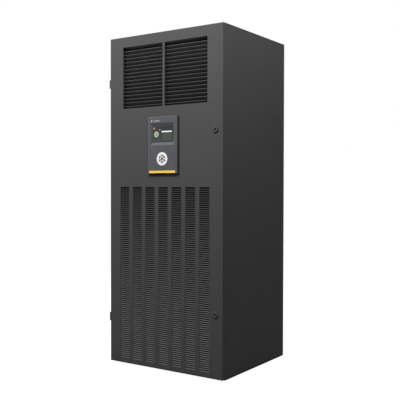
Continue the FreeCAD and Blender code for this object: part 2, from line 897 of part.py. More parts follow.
def latch_housings():
    """Round bosses on the door's face, clamped by a nut behind it."""
    body = new_body("latch_housings")
    bore = Circle("latch_across", "latch_low", "latch_bore")
    boss = pad(body, "XZ_Plane", "front - latch_proud", "front",
               Circle("latch_across", "latch_low", "latch_boss"), bore)
    barrel = pad(body, "XZ_Plane", "front", "front + latch_barrel_deep",
                 Circle("latch_across", "latch_low", "latch_barrel"), bore)
    nut = pad(body, "XZ_Plane", "skin_back", "skin_back + latch_nut_thick",
              hexagon("latch_across", "latch_low", "latch_nut"), bore)
    repeat(body, [boss, barrel, nut], "Z_Axis", "latch_rise", 2)
    in_face = lies_in(y=size("front - latch_proud"))
    rim = size("2 * latch_barrel")
    soften(body, "PartDesign::Fillet", "latch_edge",
           lambda edge: in_face(edge) and edge.BoundBox.XLength > rim)


def latch(label, level):
    """Key-operated core set back in its boss, with its cam hanging down in the open position."""
    body = new_body(label)
    pad(body, "XZ_Plane", "core_front", "cam_front", Circle("latch_across", level, "latch_core"))
    cut(body, "XZ_Plane", "core_front", "core_front + key_deep",
        rect("latch_across - key_half", "latch_across + key_half",
             f"{level} - key_half", f"{level} + key_half"))
    left = "latch_across - cam_half"
    right = "latch_across + cam_half"
    low = f"{level} - cam_reach"
    high = f"{level} + cam_heel"
    pad(body, "XZ_Plane", "cam_front + seat_gap", "cam_front + cam_thick", [
        (left, f"{low} + cam_corner"), (f"{left} + cam_corner", low),
        (f"{right} - cam_corner", low), (right, f"{low} + cam_corner"),
        (right, f"{high} - cam_corner"), (f"{right} - cam_corner", high),
        (f"{left} + cam_corner", high), (left, f"{high} - cam_corner"),
    ])


# Air filter, coil and drain

def air_filter_frame():
    """Deep frame round the filter media, standing on the tray's lip."""
    body = new_body("air_filter_frame")
    pad(body, "XZ_Plane", "filter_front", "filter_back",
        mirrored_rect("filter_half", "tray_top", "filter_high"),
        mirrored_rect("filter_half - filter_rim", "tray_top + filter_rim", "filter_high - filter_rim"))


def air_filter_media():
    """Pleated sheet that fills the frame."""
    body = new_body("air_filter_media")
    left = "filter_rim - filter_half"
    step = "2 * (filter_half - filter_rim) / pleat_count"
    near = "filter_front + media_inset"
    far = "filter_back - media_inset - media_thick"
    pleat = pad(body, "XY_Plane", "tray_top + filter_rim", "filter_high - filter_rim", [
        (left, far), (f"{left} + {step} / 2", near), (f"{left} + {step}", far),
        (f"{left} + {step}", f"{far} + media_thick"), (f"{left} + {step} / 2", f"{near} + media_thick"),
        (left, f"{far} + media_thick"),
    ])
    repeat(body, [pleat], "X_Axis", step, "pleat_count")


def drain_pan():
    """Condensate tray across the base, with its outlet pipe to the rear cut-out."""
    body = new_body("drain_pan")
    half = "inside - edge_gap"
    top = "tray_top + pan_tall"
    pad(body, "XY_Plane", "tray_top", top, mirrored_rect(half, "pan_front", "pan_rear"))
    cut(body, "XY_Plane", "tray_top + thin_sheet", top,
        mirrored_rect(f"{half} - thin_sheet", "pan_front + thin_sheet", "pan_rear - thin_sheet"))
    pad(body, "XZ_Plane", "pan_rear", "stub_end", Circle("drain_across", "drain_high", "drain_radius"))
    pad(body, "XZ_Plane", "stub_end - collar_long", "stub_end",
        Circle("drain_across", "drain_high", "drain_radius + collar_step"))
    cut(body, "XZ_Plane", "pan_rear - thin_sheet", "stub_end",
        Circle("drain_across", "drain_high", "drain_bore"))


def coil_casing():
    """Sheet frame round the fins, standing on the floor of the drain pan."""
    body = new_body("coil_casing")
    pad(body, "XZ_Plane", "coil_front", "coil_rear", mirrored_rect("coil_half", "coil_low", "coil_high"),
        mirrored_rect("coil_half - tray_sheet", "coil_low + tray_sheet", "coil_high - tray_sheet"))
    low = "tray_top + thin_sheet"
    high = "coil_low + bite"
    pad(body, "XZ_Plane", "coil_front", "coil_rear", rect("coil_half - tray_sheet", "coil_half", low, high),
        rect("0 - coil_half", "tray_sheet - coil_half", low, high))


def coil_fins():
    """Row of upright fins inside the casing."""
    body = new_body("coil_fins")
    span = "coil_half - tray_sheet - fin_inset"
    fin = pad(body, "XY_Plane", "coil_low + tray_sheet", "coil_high - tray_sheet",
              rect(f"0 - ({span})", f"fin_thick - ({span})",
                   "coil_front + fin_inset", "coil_rear - fin_inset"))
    repeat(body, [fin], "X_Axis", f"(2 * ({span}) - fin_thick) / (fin_count - 1)", "fin_count")


def coil_headers():
    """Upright suction header at the right and liquid header at the left, with stubs into the casing."""
    body = new_body("coil_headers")
    pitch = "(header_high - header_low) / circuit_count"
    first = f"header_low + {pitch} / 2"
    places = (
        (1, "suction_header_at", "suction_header_radius"),
        (-1, "liquid_header_at", "liquid_header_radius"),
    )
    for hand, at, radius in places:
        pad(body, "XY_Plane", "header_low", "header_high", Circle(f"{hand} * header_out", at, radius))
        reach = ("coil_half", "header_out") if hand > 0 else ("0 - header_out", "0 - coil_half")
        stub = pad(body, "YZ_Plane", *reach, Circle(at, first, "circuit_radius"))
        repeat(body, [stub], "Z_Axis", pitch, "circuit_count")
    pad(body, "XZ_Plane", "suction_header_at", "suction_start",
        Circle("header_out", "suction_level", "suction_radius"))
    pad(body, "XZ_Plane", "liquid_header_at", "liquid_header_at + header_stub",
        Circle("0 - header_out", "liquid_level", "liquid_radius"))


# Compressor and refrigerant lines

def compressor():
    """Welded shell with domed ends on a foot plate, a terminal box and its two pipe stubs."""
    body = new_body("compressor")
    foot_top = "compressor_low + compressor_foot"
    lower = [
        (f"compressor_radius * cos({angle})", f"{foot_top} + dome_low * (1 - sin({angle}))")
        for angle in (60, 40, 20, 0)
    ]
    upper = [
        (f"compressor_radius * cos({angle})", f"compressor_high - dome_high * (1 - sin({angle}))")
        for angle in (0, 20, 40, 60, 75)
    ]
    revolve(body, "XZ_Plane", "Z_Axis", [
        ("0", foot_top), *lower, *upper,
        ("discharge_radius", "compressor_high"), ("discharge_radius", "discharge_start"),
        ("0", "discharge_start"),
    ])
    foot_half = "mount_across + foot_margin"
    pad(body, "XY_Plane", "compressor_low", f"{foot_top} + bite",
        mirrored_rect(foot_half, f"0 - ({foot_half})", foot_half))
    pad(body, "YZ_Plane", "0", "suction_end - compressor_across",
        Circle("0", "suction_level", "suction_radius"))
    pad(body, "XZ_Plane", "0 - compressor_radius - terminal_deep", "0",
        mirrored_rect("terminal_half", "terminal_low", "terminal_high"))
    body.setExpression("Placement.Base.x", ex("compressor_across"))
    body.setExpression("Placement.Base.y", ex("compressor_back + stand"))


def compressor_mounts():
    """Four waisted rubber bushes between the tray and the foot plate."""
    body = new_body("compressor_mounts")
    low = "foot_tall + tray_sheet"
    middle = f"({low} + compressor_low) / 2"
    for across, along in corners("mount_across", "0 - mount_across", "mount_across"):
        x = f"compressor_across + {across}"
        y = f"compressor_back + {along}"
        pad(body, "XY_Plane", low, f"{middle} - waist_half", Circle(x, y, "mount_radius"))
        pad(body, "XY_Plane", f"{middle} - waist_half", f"{middle} + waist_half", Circle(x, y, "mount_waist"))
        pad(body, "XY_Plane", f"{middle} + waist_half", "compressor_low", Circle(x, y, "mount_radius"))


def bent_tube(radius, *points):
    """Rod along straight runs that meet at right angles in arcs of the pipe's bend radius."""
    bend = size("pipe_bend")
    route = [Vector(*map(size, point)) for point in points]
    edges = []
    start = route[0]
    for before, corner, after in zip(route, route[1:], route[2:]):
        arriving = (corner - before).normalize()
        leaving = (after - corner).normalize()
        enter = corner - arriving * bend
        leave = corner + leaving * bend
        middle = corner + (leaving - arriving) * bend * (1 - 1 / sqrt(2))
        edges.append(Part.makeLine(start, enter))
        edges.append(Part.Arc(enter, middle, leave).toShape())
        start = leave
    edges.append(Part.makeLine(start, route[-1]))
    spine = Part.Wire(edges)
    section = Part.Wire(Part.makeCircle(size(radius), route[0], route[1] - route[0]))
    return spine.makePipeShell([section], True, False)


def site_end(tube, radius, end):
    """Tube with a collar and a short bore at its rear end, where the site pipe joins it."""
    mouth = Vector(*map(size, end))
    forward = Vector(0, -1, 0)
    collar = Part.makeCylinder(size(f"{radius} + collar_step"), size("collar_long"), mouth, forward)
    bore = Part.makeCylinder(size(f"{radius} - bite"), size("stub_bore"), mouth, forward)
    return tube.fuse(collar).cut(bore).removeSplitter()


def refrigerant_lines():
    """Suction, discharge and liquid pipes."""
    new_shape("suction_line", bent_tube(
        "suction_radius",
        ("header_out", "suction_start", "suction_level"),
        ("header_out", "compressor_back", "suction_level"),
        ("suction_end", "compressor_back", "suction_level")))
    discharge_end = ("discharge_across", "stub_end", "stub_level")
    discharge = bent_tube(
        "discharge_radius",
        ("compressor_across", "compressor_back", "discharge_start"),
        ("compressor_across", "compressor_back", "discharge_level"),
        ("discharge_across", "compressor_back", "discharge_level"),
        ("discharge_across", "compressor_back", "stub_level"), discharge_end)
    new_shape("discharge_line", site_end(discharge, "discharge_radius", discharge_end))
    liquid_end = ("liquid_across", "stub_end", "stub_level")
    inlet = bent_tube(
        "liquid_radius", liquid_end,
        ("liquid_across", "liquid_back", "stub_level"), ("liquid_across", "liquid_back", "drier_low"))
    middle = bent_tube(
        "liquid_radius",
        ("liquid_across", "liquid_back", "drier_high"), ("liquid_across", "liquid_back", "valve_low"))
    outlet = bent_tube(
        "liquid_radius", ("liquid_across", "liquid_back", "valve_high"),
        ("liquid_across", "liquid_back", "liquid_level"), ("0 - header_out", "liquid_back", "liquid_level"),
        ("0 - header_out", "liquid_header_at + header_stub", "liquid_level"))
    inlet = site_end(inlet, "liquid_radius", liquid_end)
    new_shape("liquid_line", Part.makeCompound([inlet, middle, outlet]))


def filter_drier():
    """Capsule with conical ends in the liquid line."""
    body = new_body("filter_drier")
    neck = "liquid_radius + drier_wall"
    revolve(body, "XZ_Plane", "Z_Axis", [
        ("0", "drier_low"), (neck, "drier_low"), (neck, "drier_low + drier_neck"),
        ("drier_radius", "drier_low + drier_cone"), ("drier_radius", "drier_high - drier_cone"),
        (neck, "drier_high - drier_neck"), (neck, "drier_high"), ("0", "drier_high"),
    ])
    body.setExpression("Placement.Base.x", ex("liquid_across"))
    body.setExpression("Placement.Base.y", ex("liquid_back + stand"))


def expansion_valve():
    """Hexagonal valve body with a diaphragm head on its rear side."""
    body = new_body("expansion_valve")
    level = "(valve_low + valve_high) / 2"
    pad(body, "XY_Plane", "valve_low", "valve_high", hexagon("0", "0", "valve_radius"))
    stem = "valve_radius + valve_stem"
    pad(body, "XZ_Plane", "0", stem, Circle("0", level, "valve_radius - valve_step"))
    pad(body, "XZ_Plane", stem, f"{stem} + valve_cap", Circle("0", level, "valve_head"))
    body.setExpression("Placement.Base.x", ex("liquid_across"))
    body.setExpression("Placement.Base.y", ex("liquid_back + stand"))


# Fan deck, blower and plenum

def fan_deck():
    """Shelf above the control box with air holes at both sides of the blower and turned-down edges."""
    body = new_body("fan_deck")
    top = "deck_low + tray_sheet"
    step = "post_back + deck_step"
    rear = "tray_rear - edge_gap"
    plan = both_hands([
        ("deck_notch", "deck_front"), ("deck_notch", step), ("inside", step), ("inside", rear),
    ])
    pad(body, "XY_Plane", "deck_low", top, plan)
    hole = ("deck_hole_near", "deck_hole_far", "deck_hole_front", "deck_hole_rear")
    cut(body, "XY_Plane", "deck_low", top, rect(*hole), rect(f"0 - {hole[1]}", f"0 - {hole[0]}", *hole[2:]))
    pad(body, "XY_Plane", "deck_low - deck_lip", "deck_low + bite",
        mirrored_rect("inside", f"{rear} - tray_sheet", rear))


def scroll_face(inset, outlet):
    """Side view of the blower's scroll: three growing quarter turns that run out into a straight throat."""
    growth = size("scroll_growth")
    radius = size("scroll_radius") - inset
    centre = Vector(0, size("blower_back"), size("blower_high"))
    directions = [Vector(0, -1, 0), Vector(0, 0, -1), Vector(0, 1, 0), Vector(0, 0, 1)]
    throat_low = centre.z + inset
    point = centre + directions[0] * radius
    sill = Vector(0, point.y, throat_low)
    edges = [Part.makeLine(Vector(0, outlet, throat_low), sill)]
    if inset:
        edges.append(Part.makeLine(sill, point))
    for leaving, arriving in zip(directions, directions[1:]):
        end = centre + arriving * radius
        middle = centre + (leaving + arriving) * radius / sqrt(2)
        edges.append(Part.Arc(point, middle, end).toShape())
        point = end
        centre = centre - arriving * growth
        radius += growth
    edges.append(Part.makeLine(point, Vector(0, outlet, point.z)))
    edges.append(Part.makeLine(Vector(0, outlet, point.z), Vector(0, outlet, throat_low)))
    return Part.Face(Part.Wire(edges))


def blower_housing():
    """Scroll shell, open at the throat and at both side inlets, on two side legs."""
    half = size("blower_half")
    thick = size("sheet")
    back = size("blower_back")
    outlet = size("outlet_at")
    shell = scroll_face(0, outlet)
    shell.translate(Vector(-half, 0, 0))
    shell = shell.extrude(Vector(2 * half, 0, 0))
    hollow = scroll_face(thick, outlet - thick)
    hollow.translate(Vector(thick - half, 0, 0))
    hollow = hollow.extrude(Vector(2 * (half - thick), 0, 0))
    inlets = Part.makeCylinder(
        size("inlet_radius"), 2 * half, Vector(-half, back, size("blower_high")), Vector(1, 0, 0))
    foot = size("deck_low + tray_sheet")
    leg_high = size("blower_high - inlet_radius - leg_below")
    leg_half = size("scroll_radius") / 2
    legs = [
        Part.makeBox(thick, 2 * leg_half, leg_high - foot, Vector(x, back - leg_half, foot))
        for x in (-half, half - thick)
    ]
    shape = shell.cut(hollow).cut(inlets).multiFuse(legs).cut(hollow).removeSplitter()
    new_shape("blower_housing", shape)


def supply_plenum():
    """Tapered duct from the blower's throat to the supply opening, with a front rim on the deck."""
    body = new_body("supply_plenum")
    throat = ("blower_half", "blower_high", "scroll_top")
    mouth = ("plenum_half", "plenum_low", "plenum_high")

    def section(place, half, low, high, inset):
        return place, mirrored_rect(f"{half} - {inset}", f"{low} + {inset}", f"{high} - {inset}")

    loft(body, "PartDesign::AdditiveLoft",
         section("plenum_front", *mouth, "0"), section("outlet_at", *throat, "0"))
    loft(body, "PartDesign::SubtractiveLoft",
         section("plenum_front", *mouth, "sheet"), section("outlet_at", *throat, "sheet"))
    pad(body, "XZ_Plane", "plenum_front - sheet", "plenum_front",
        mirrored_rect("plenum_rim_half", "deck_low + tray_sheet", "plenum_rim_high"),
        mirrored_rect("plenum_half - sheet", "plenum_low + sheet", "plenum_high - sheet"))


def blower_wheel():
    """Double-inlet drum of leaning vanes on a centre disc."""
    body = new_body("blower_wheel")
    revolve(body, "XY_Plane", "X_Axis", [
        ("0 - wheel_half", "wheel_inner"), ("0 - wheel_disc", "wheel_inner"),
        ("0 - wheel_disc", "rotor_radius"),
        ("wheel_disc", "rotor_radius"), ("wheel_disc", "wheel_inner"), ("wheel_half", "wheel_inner"),
        ("wheel_half", "wheel_radius"), ("0 - wheel_half", "wheel_radius"),
    ])
    slot = [
        ("wheel_inner - vane_bite", "0"), ("wheel_radius + wheel_ring", "wheel_ring"),
        ("wheel_radius + wheel_ring", "wheel_ring + vane_slot"), ("wheel_inner - vane_bite", "vane_slot"),
    ]
    near = "wheel_disc + bite"
    far = "wheel_half - wheel_ring"
    slots = [
        cut(body, "YZ_Plane", near, far, slot),
        cut(body, "YZ_Plane", f"0 - ({far})", f"0 - ({near})", slot),
    ]
    repeat_round(body, slots, "X_Axis", "vane_count")
    body.setExpression("Placement.Base.y", ex("blower_back + stand"))
    body.setExpression("Placement.Base.z", ex("blower_high"))


def motor_rotor():
    """Outer rotor of the motor, inside the wheel's hub."""
    body = new_body("motor_rotor")
    revolve(body, "XY_Plane", "X_Axis", [
        ("0 - rotor_half", "rotor_bore"), ("rotor_half", "rotor_bore"),
        ("rotor_half", "rotor_radius - rotor_edge"), ("rotor_half - rotor_edge", "rotor_radius"),
        ("rotor_edge - rotor_half", "rotor_radius"), ("0 - rotor_half", "rotor_radius - rotor_edge"),
    ])
    body.setExpression("Placement.Base.y", ex("blower_back + stand"))
    body.setExpression("Placement.Base.z", ex("blower_high"))


def motor_bracket():
    """Arm across the left inlet that holds the motor's fixed shaft."""
    body = new_body("motor_bracket")
    wall = "0 - blower_half"
    pad(body, "YZ_Plane", f"{wall} - arm_thick", wall,
        rect("0 - arm_reach", "arm_reach", "0 - arm_half", "arm_half"))
    pad(body, "YZ_Plane", f"{wall} - bite", "rotor_half", Circle("0", "0", "shaft_radius"))
    body.setExpression("Placement.Base.y", ex("blower_back + stand"))
    body.setExpression("Placement.Base.z", ex("blower_high"))


# Control box

def control_box():
    """Open-fronted sheet box fixed between the front posts."""
    body = new_body("control_box")
    pad(body, "XZ_Plane", "box_front", "box_rear", mirrored_rect("flange_in", "box_low", "box_high"))
    cut(body, "XZ_Plane", "box_front", "box_rear - thin_sheet",
        mirrored_rect("flange_in - thin_sheet", "box_low + thin_sheet", "box_high - thin_sheet"))


def control_box_cover():
    """Flat cover with the hole for the isolator's shaft."""
    body = new_body("control_box_cover")
    pad(body, "XZ_Plane", "cover_front", "box_front",
        mirrored_rect("flange_in - cover_play", "box_low + cover_play", "box_high - cover_play"),
        Circle("isolator_across", "isolator_high", "knob_hole"))


def switchgear():
    """Mounting rail with three contactors, a terminal strip and the isolator's body."""
    body = new_body("switchgear")
    wall = "box_rear - thin_sheet"
    pad(body, "XZ_Plane", f"{wall} - rail_deep", wall,
        mirrored_rect("rail_half", "rail_low", "rail_low + rail_tall"))
    seat = f"{wall} - rail_deep - seat_gap"
    block = f"{seat} - contactor_deep"
    left = "contactor_left"
    right = "contactor_left + contactor_wide"
    contactor = pad(body, "XZ_Plane", block, seat,
                    rect(left, right, "contactor_low", "contactor_low + contactor_tall"))
    plunger = pad(body, "XZ_Plane", f"{block} - plunger_deep", block,
                  rect(left, right, "plunger_low", "plunger_low + plunger_tall"))
    repeat(body, [contactor, plunger], "X_Axis", "contactor_pitch", "contactor_count")
    pad(body, "XZ_Plane", f"{seat} - terminals_deep", seat,
        rect("terminals_left", "terminals_right", "terminals_low", "terminals_high"))
    pad(body, "XZ_Plane", "isolator_front", seat,
        rect("isolator_across - isolator_half", "isolator_across + isolator_half",
             "isolator_high - isolator_reach", "isolator_high + isolator_reach"))


def isolator_knob():
    """Rotary handle on a shaft through the cover."""
    body = new_body("isolator_knob")
    centre = ("isolator_across", "isolator_high")
    rest = "cover_front - knob_play"
    pad(body, "XZ_Plane", f"{rest} - knob_base", rest, Circle(*centre, "knob_radius"))
    soften(body, "PartDesign::Fillet", "knob_edge", lies_in(y=size(f"{rest} - knob_base")))
    pad(body, "XZ_Plane", f"{rest} - knob_tall", f"{rest} - knob_base",
        rect("isolator_across - knob_grip", "isolator_across + knob_grip",
             "isolator_high - knob_radius + 2 * knob_edge", "isolator_high + knob_radius - 2 * knob_edge"))
    soften(body, "PartDesign::Fillet", "knob_edge", lies_in(y=size(f"{rest} - knob_tall")))
    pad(body, "XZ_Plane", rest, f"{rest} + knob_shaft_long", Circle(*centre, "knob_shaft"))


def build():
    """Makes every piece of the unit."""
    base_tray()
    levelling_feet()
    side_panel("left_side_panel", -1)
    side_panel("right_side_panel", 1)
    rear_panel()
    top_panel()
    corner_posts()
    door_seal()
    cabinet_hinge_leaves()
    hinge_pins()
    door_hinge_leaves()
    door_panel()
    return_grille()
    supply_grille_frame()
    for number in range(int(size("blade_count"))):
        louvre_blade(number)
    louvre_link()
    display_housing()
    touch_screen()
    accent_bar()
    latch_housings()
    latch("upper_latch", "latch_low + latch_rise")
    latch("lower_latch", "latch_low")
    air_filter_frame()
    air_filter_media()
    drain_pan()
    coil_casing()
    coil_fins()
    coil_headers()
    compressor()
    compressor_mounts()
    refrigerant_lines()
    filter_drier()
    expansion_valve()
    fan_deck()
    blower_housing()
    supply_plenum()
    blower_wheel()
    motor_rotor()
    motor_bracket()
    control_box()
    control_box_cover()
    switchgear()
    isolator_knob()


def centre():
    """Stands every body that has no place of its own so that the unit's outer box is over the origin."""
    doc.recompute()
    for piece in pieces:
        if piece.isDerivedFrom("PartDesign::Body") and not piece.Placement.Base.y:
            piece.setExpression("Placement.Base.y", ex("stand"))


def export():
    """Checks every object and writes one file for each piece."""
    doc.recompute()
    failed = [item.Label for item in doc.Objects if {"Invalid", "Error"} & set(item.State)]
    if failed:
        raise RuntimeError(f"not built: {failed}")
    for piece in pieces:
        if piece.Shape.isNull() or not piece.Shape.isValid() or not piece.Shape.Solids:
            raise RuntimeError(f"{piece.Label}: no valid solid")
    os.makedirs("parts", exist_ok=True)
    for piece in pieces:
        piece.Shape.exportStep(f"parts/{piece.Label}.step")
        print(f"{piece.Label}: {len(piece.Shape.Solids)} solid(s), {piece.Shape.Volume / 1000:.1f} cm3")


build()
centre()
export()
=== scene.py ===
"""Looks of the precision cooling unit: finishes, small fittings, light and camera over its frame."""
import json
import logging
import math
from collections.abc import Callable, Iterator, Sequence
from contextlib import contextmanager
from dataclasses import dataclass
from enum import Enum
from typing import ClassVar

import bmesh
import bpy
from mathutils import Matrix, Vector


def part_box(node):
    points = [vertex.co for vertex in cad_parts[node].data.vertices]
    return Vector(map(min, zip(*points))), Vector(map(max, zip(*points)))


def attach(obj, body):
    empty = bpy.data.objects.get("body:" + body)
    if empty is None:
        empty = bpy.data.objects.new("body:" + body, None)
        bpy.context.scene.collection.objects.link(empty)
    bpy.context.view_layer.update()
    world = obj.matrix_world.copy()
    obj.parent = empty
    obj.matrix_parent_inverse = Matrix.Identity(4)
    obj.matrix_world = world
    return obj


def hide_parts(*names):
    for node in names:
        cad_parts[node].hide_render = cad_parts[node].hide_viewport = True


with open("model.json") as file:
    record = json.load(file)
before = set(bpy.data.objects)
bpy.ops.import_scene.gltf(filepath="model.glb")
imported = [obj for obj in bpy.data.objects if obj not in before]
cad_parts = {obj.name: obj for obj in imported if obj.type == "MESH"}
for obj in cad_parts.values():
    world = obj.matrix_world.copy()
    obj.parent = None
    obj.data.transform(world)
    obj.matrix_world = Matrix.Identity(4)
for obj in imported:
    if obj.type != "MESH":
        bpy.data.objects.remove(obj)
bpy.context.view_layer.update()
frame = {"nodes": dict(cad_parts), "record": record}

Colour = tuple[float, float, float]
Point = tuple[float, float, float]
Piece = bpy.types.Object
Socket = bpy.types.NodeSocket

MM = 0.001
TOUCH = 1e-6
SMOOTH_ANGLE = math.radians(35)
# Least cosine between two directions that count as the same, nearly the same or on the same side
SQUARE = 0.999
NEARLY_SQUARE = 0.9
SLANTED = 0.5
# Numbers of the axes in a vector, and the whole range of a pattern
ACROSS = 0
UPWARD = 2
WHOLE = (0.0, 1.0)
LOG = logging.getLogger("cooling_unit")


class Slot(Enum):
    """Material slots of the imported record."""

    CABINET = "cabinet_paint"
    BLADE = "blade_paint"
    BLACK = "black_paint"
    ZINC = "galvanised"
    STAINLESS = "stainless"
    BOX = "box_paint"
    HINGE = "hinge_steel"
    LATCH = "latch_chrome"
    RUBBER = "foot_rubber"
    CARD = "filter_card"
    CLOTH = "filter_cloth"
    FIN = "fin_aluminium"
    COPPER = "copper"
    BRASS = "valve_brass"
    DRIER = "drier_paint"
    WHEEL = "wheel_steel"
    SWITCH = "switch_plastic"
    KNOB = "knob_plastic"
    DISPLAY = "display_plastic"
    SCREEN = "screen_glass"
    AMBER = "amber_plastic"


class Body(Enum):
    """Bodies of the frame that carry added fittings."""

    CABINET = "cabinet"
    DOOR = "door"
    UPPER_LATCH = "upper_latch"
    LOWER_LATCH = "lower_latch"


class Toward(Enum):
    """Directions in which a fitting can face."""

    FRONT = (0.0, -1.0, 0.0)
    REAR = (0.0, 1.0, 0.0)
    LEFT = (-1.0, 0.0, 0.0)
    UP = (0.0, 0.0, 1.0)

    @property
    def vector(self) -> Vector:
        """Direction as a vector."""
        return Vector(self.value)


class Drive(Enum):
    """Ways in which a fastener's head is turned."""

    CROSS = "cross recess"
    RIVET = "none, with a pulled dimple"


class Graph:
    """Shader graph of a material or of the world."""

    def __init__(self, tree: bpy.types.NodeTree) -> None:
        """Takes up a node tree.

        Args:
            tree: Tree that takes the nodes.
        """
        self.tree = tree

    def feed(self, socket: Socket, value: object) -> None:
        """Links a socket to another node's output, or sets it to a plain value.

        Args:
            socket: Input that takes the value.
            value: Output socket, number or colour.
        """
        if isinstance(value, bpy.types.NodeSocket):
            self.tree.links.new(value, socket)
        else:
            socket.default_value = value

    def add(
        self, kind: str, inputs: dict[str | int, object] | None = None, **settings: object
    ) -> bpy.types.Node:
        """Adds one node.

        Args:
            kind: Type of the node.
            inputs: Values or links by socket name or number.
            **settings: Properties of the node itself.

        Returns:
            The new node.
        """
        node = self.tree.nodes.new(kind)
        for name, value in settings.items():
            setattr(node, name, value)
        for socket, value in (inputs or {}).items():
            self.feed(node.inputs[socket], value)
        return node

    def place(self, stretch: Point = (1.0, 1.0, 1.0)) -> Socket:
        """Object coordinates, drawn out along the axes.

        Args:
            stretch: Factor along each axis.

        Returns:
            Coordinates for a texture.
        """
        coordinates = self.add("ShaderNodeTexCoord").outputs["Object"]
        return self.add("ShaderNodeMapping", {"Vector": coordinates, "Scale": stretch}).outputs[0]

    def share(self, vector: Socket, axis: int) -> Socket:
        """One part of a vector.

        Args:
            vector: Coordinates, normal or colour.
            axis: Number of the part.

        Returns:
            That part.
        """
        return self.add("ShaderNodeSeparateXYZ", {0: vector}).outputs[axis]

    def normal(self) -> Socket:
        """Direction in which the surface looks."""
        return self.add("ShaderNodeNewGeometry").outputs["Normal"]

    def noise(self, where: Socket, scale: float, detail: float = 2.0) -> Socket:
        """Cloudy pattern from nought to one.

        Args:
            where: Coordinates.
            scale: Clouds per metre.
            detail: Number of finer layers.

        Returns:
            The pattern's value.
        """
        inputs = {"Vector": where, "Scale": scale, "Detail": detail}
        return self.add("ShaderNodeTexNoise", inputs).outputs[0]

    def spread(self, value: Socket, source: tuple[float, float], target: tuple[float, float]) -> Socket:
        """Maps one range of values on to another, clamped.

        Args:
            value: Incoming value.
            source: Its two ends.
            target: What the two ends become.

        Returns:
            The mapped value.
        """
        inputs = {0: value, 1: source[0], 2: source[1], 3: target[0], 4: target[1]}
        return self.add("ShaderNodeMapRange", inputs).outputs[0]

    def math(self, operation: str, first: object, second: object, third: object = 0.0) -> Socket:
        """Result of one step of arithmetic on two or three values.

        Args:
            operation: Kind of step.
            first: First value.
            second: Second value.
            third: Third value, where the step has one.

        Returns:
            The result.
        """
        return self.add("ShaderNodeMath", {0: first, 1: second, 2: third}, operation=operation).outputs[0]

    def mix(self, factor: object, first: object, second: object) -> Socket:
        """Blend of two colours.

        Args:
            factor: Share of the second colour.
            first: Colour at nought.
            second: Colour at one.

        Returns:
            The blended colour.
        """
        start, end = (
            value if isinstance(value, bpy.types.NodeSocket) else (*value, 1.0) for value in (first, second)
        )
        return self.add("ShaderNodeMix", {0: factor, 6: start, 7: end}, data_type="RGBA").outputs[2]


class Surface(Graph):
    """Shader graph of one material."""

    def __init__(self, name: str) -> None:
        """Starts a material that has only its main shader.

        Args:
            name: Name of the material.
        """
        self.material = bpy.data.materials.new(name)
        self.material.use_nodes = True
        super().__init__(self.material.node_tree)

    def dress(self, values: dict[str, object]) -> bpy.types.Material:
        """Sets the main shader's sockets.

        Args:
            values: Values or links by socket name.

        Returns:
            The finished material.
        """
        for name, value in values.items():
            self.feed(self.tree.nodes["Principled BSDF"].inputs[name], value)
        return self.material


def shade(colour: Colour, factor: float) -> Colour:
    """Colour made lighter or darker.

    Args:
        colour: Linear colour.
        factor: Multiplier of its brightness.

    Returns:
        The new colour.
    """
    return tuple(channel * factor for channel in colour)


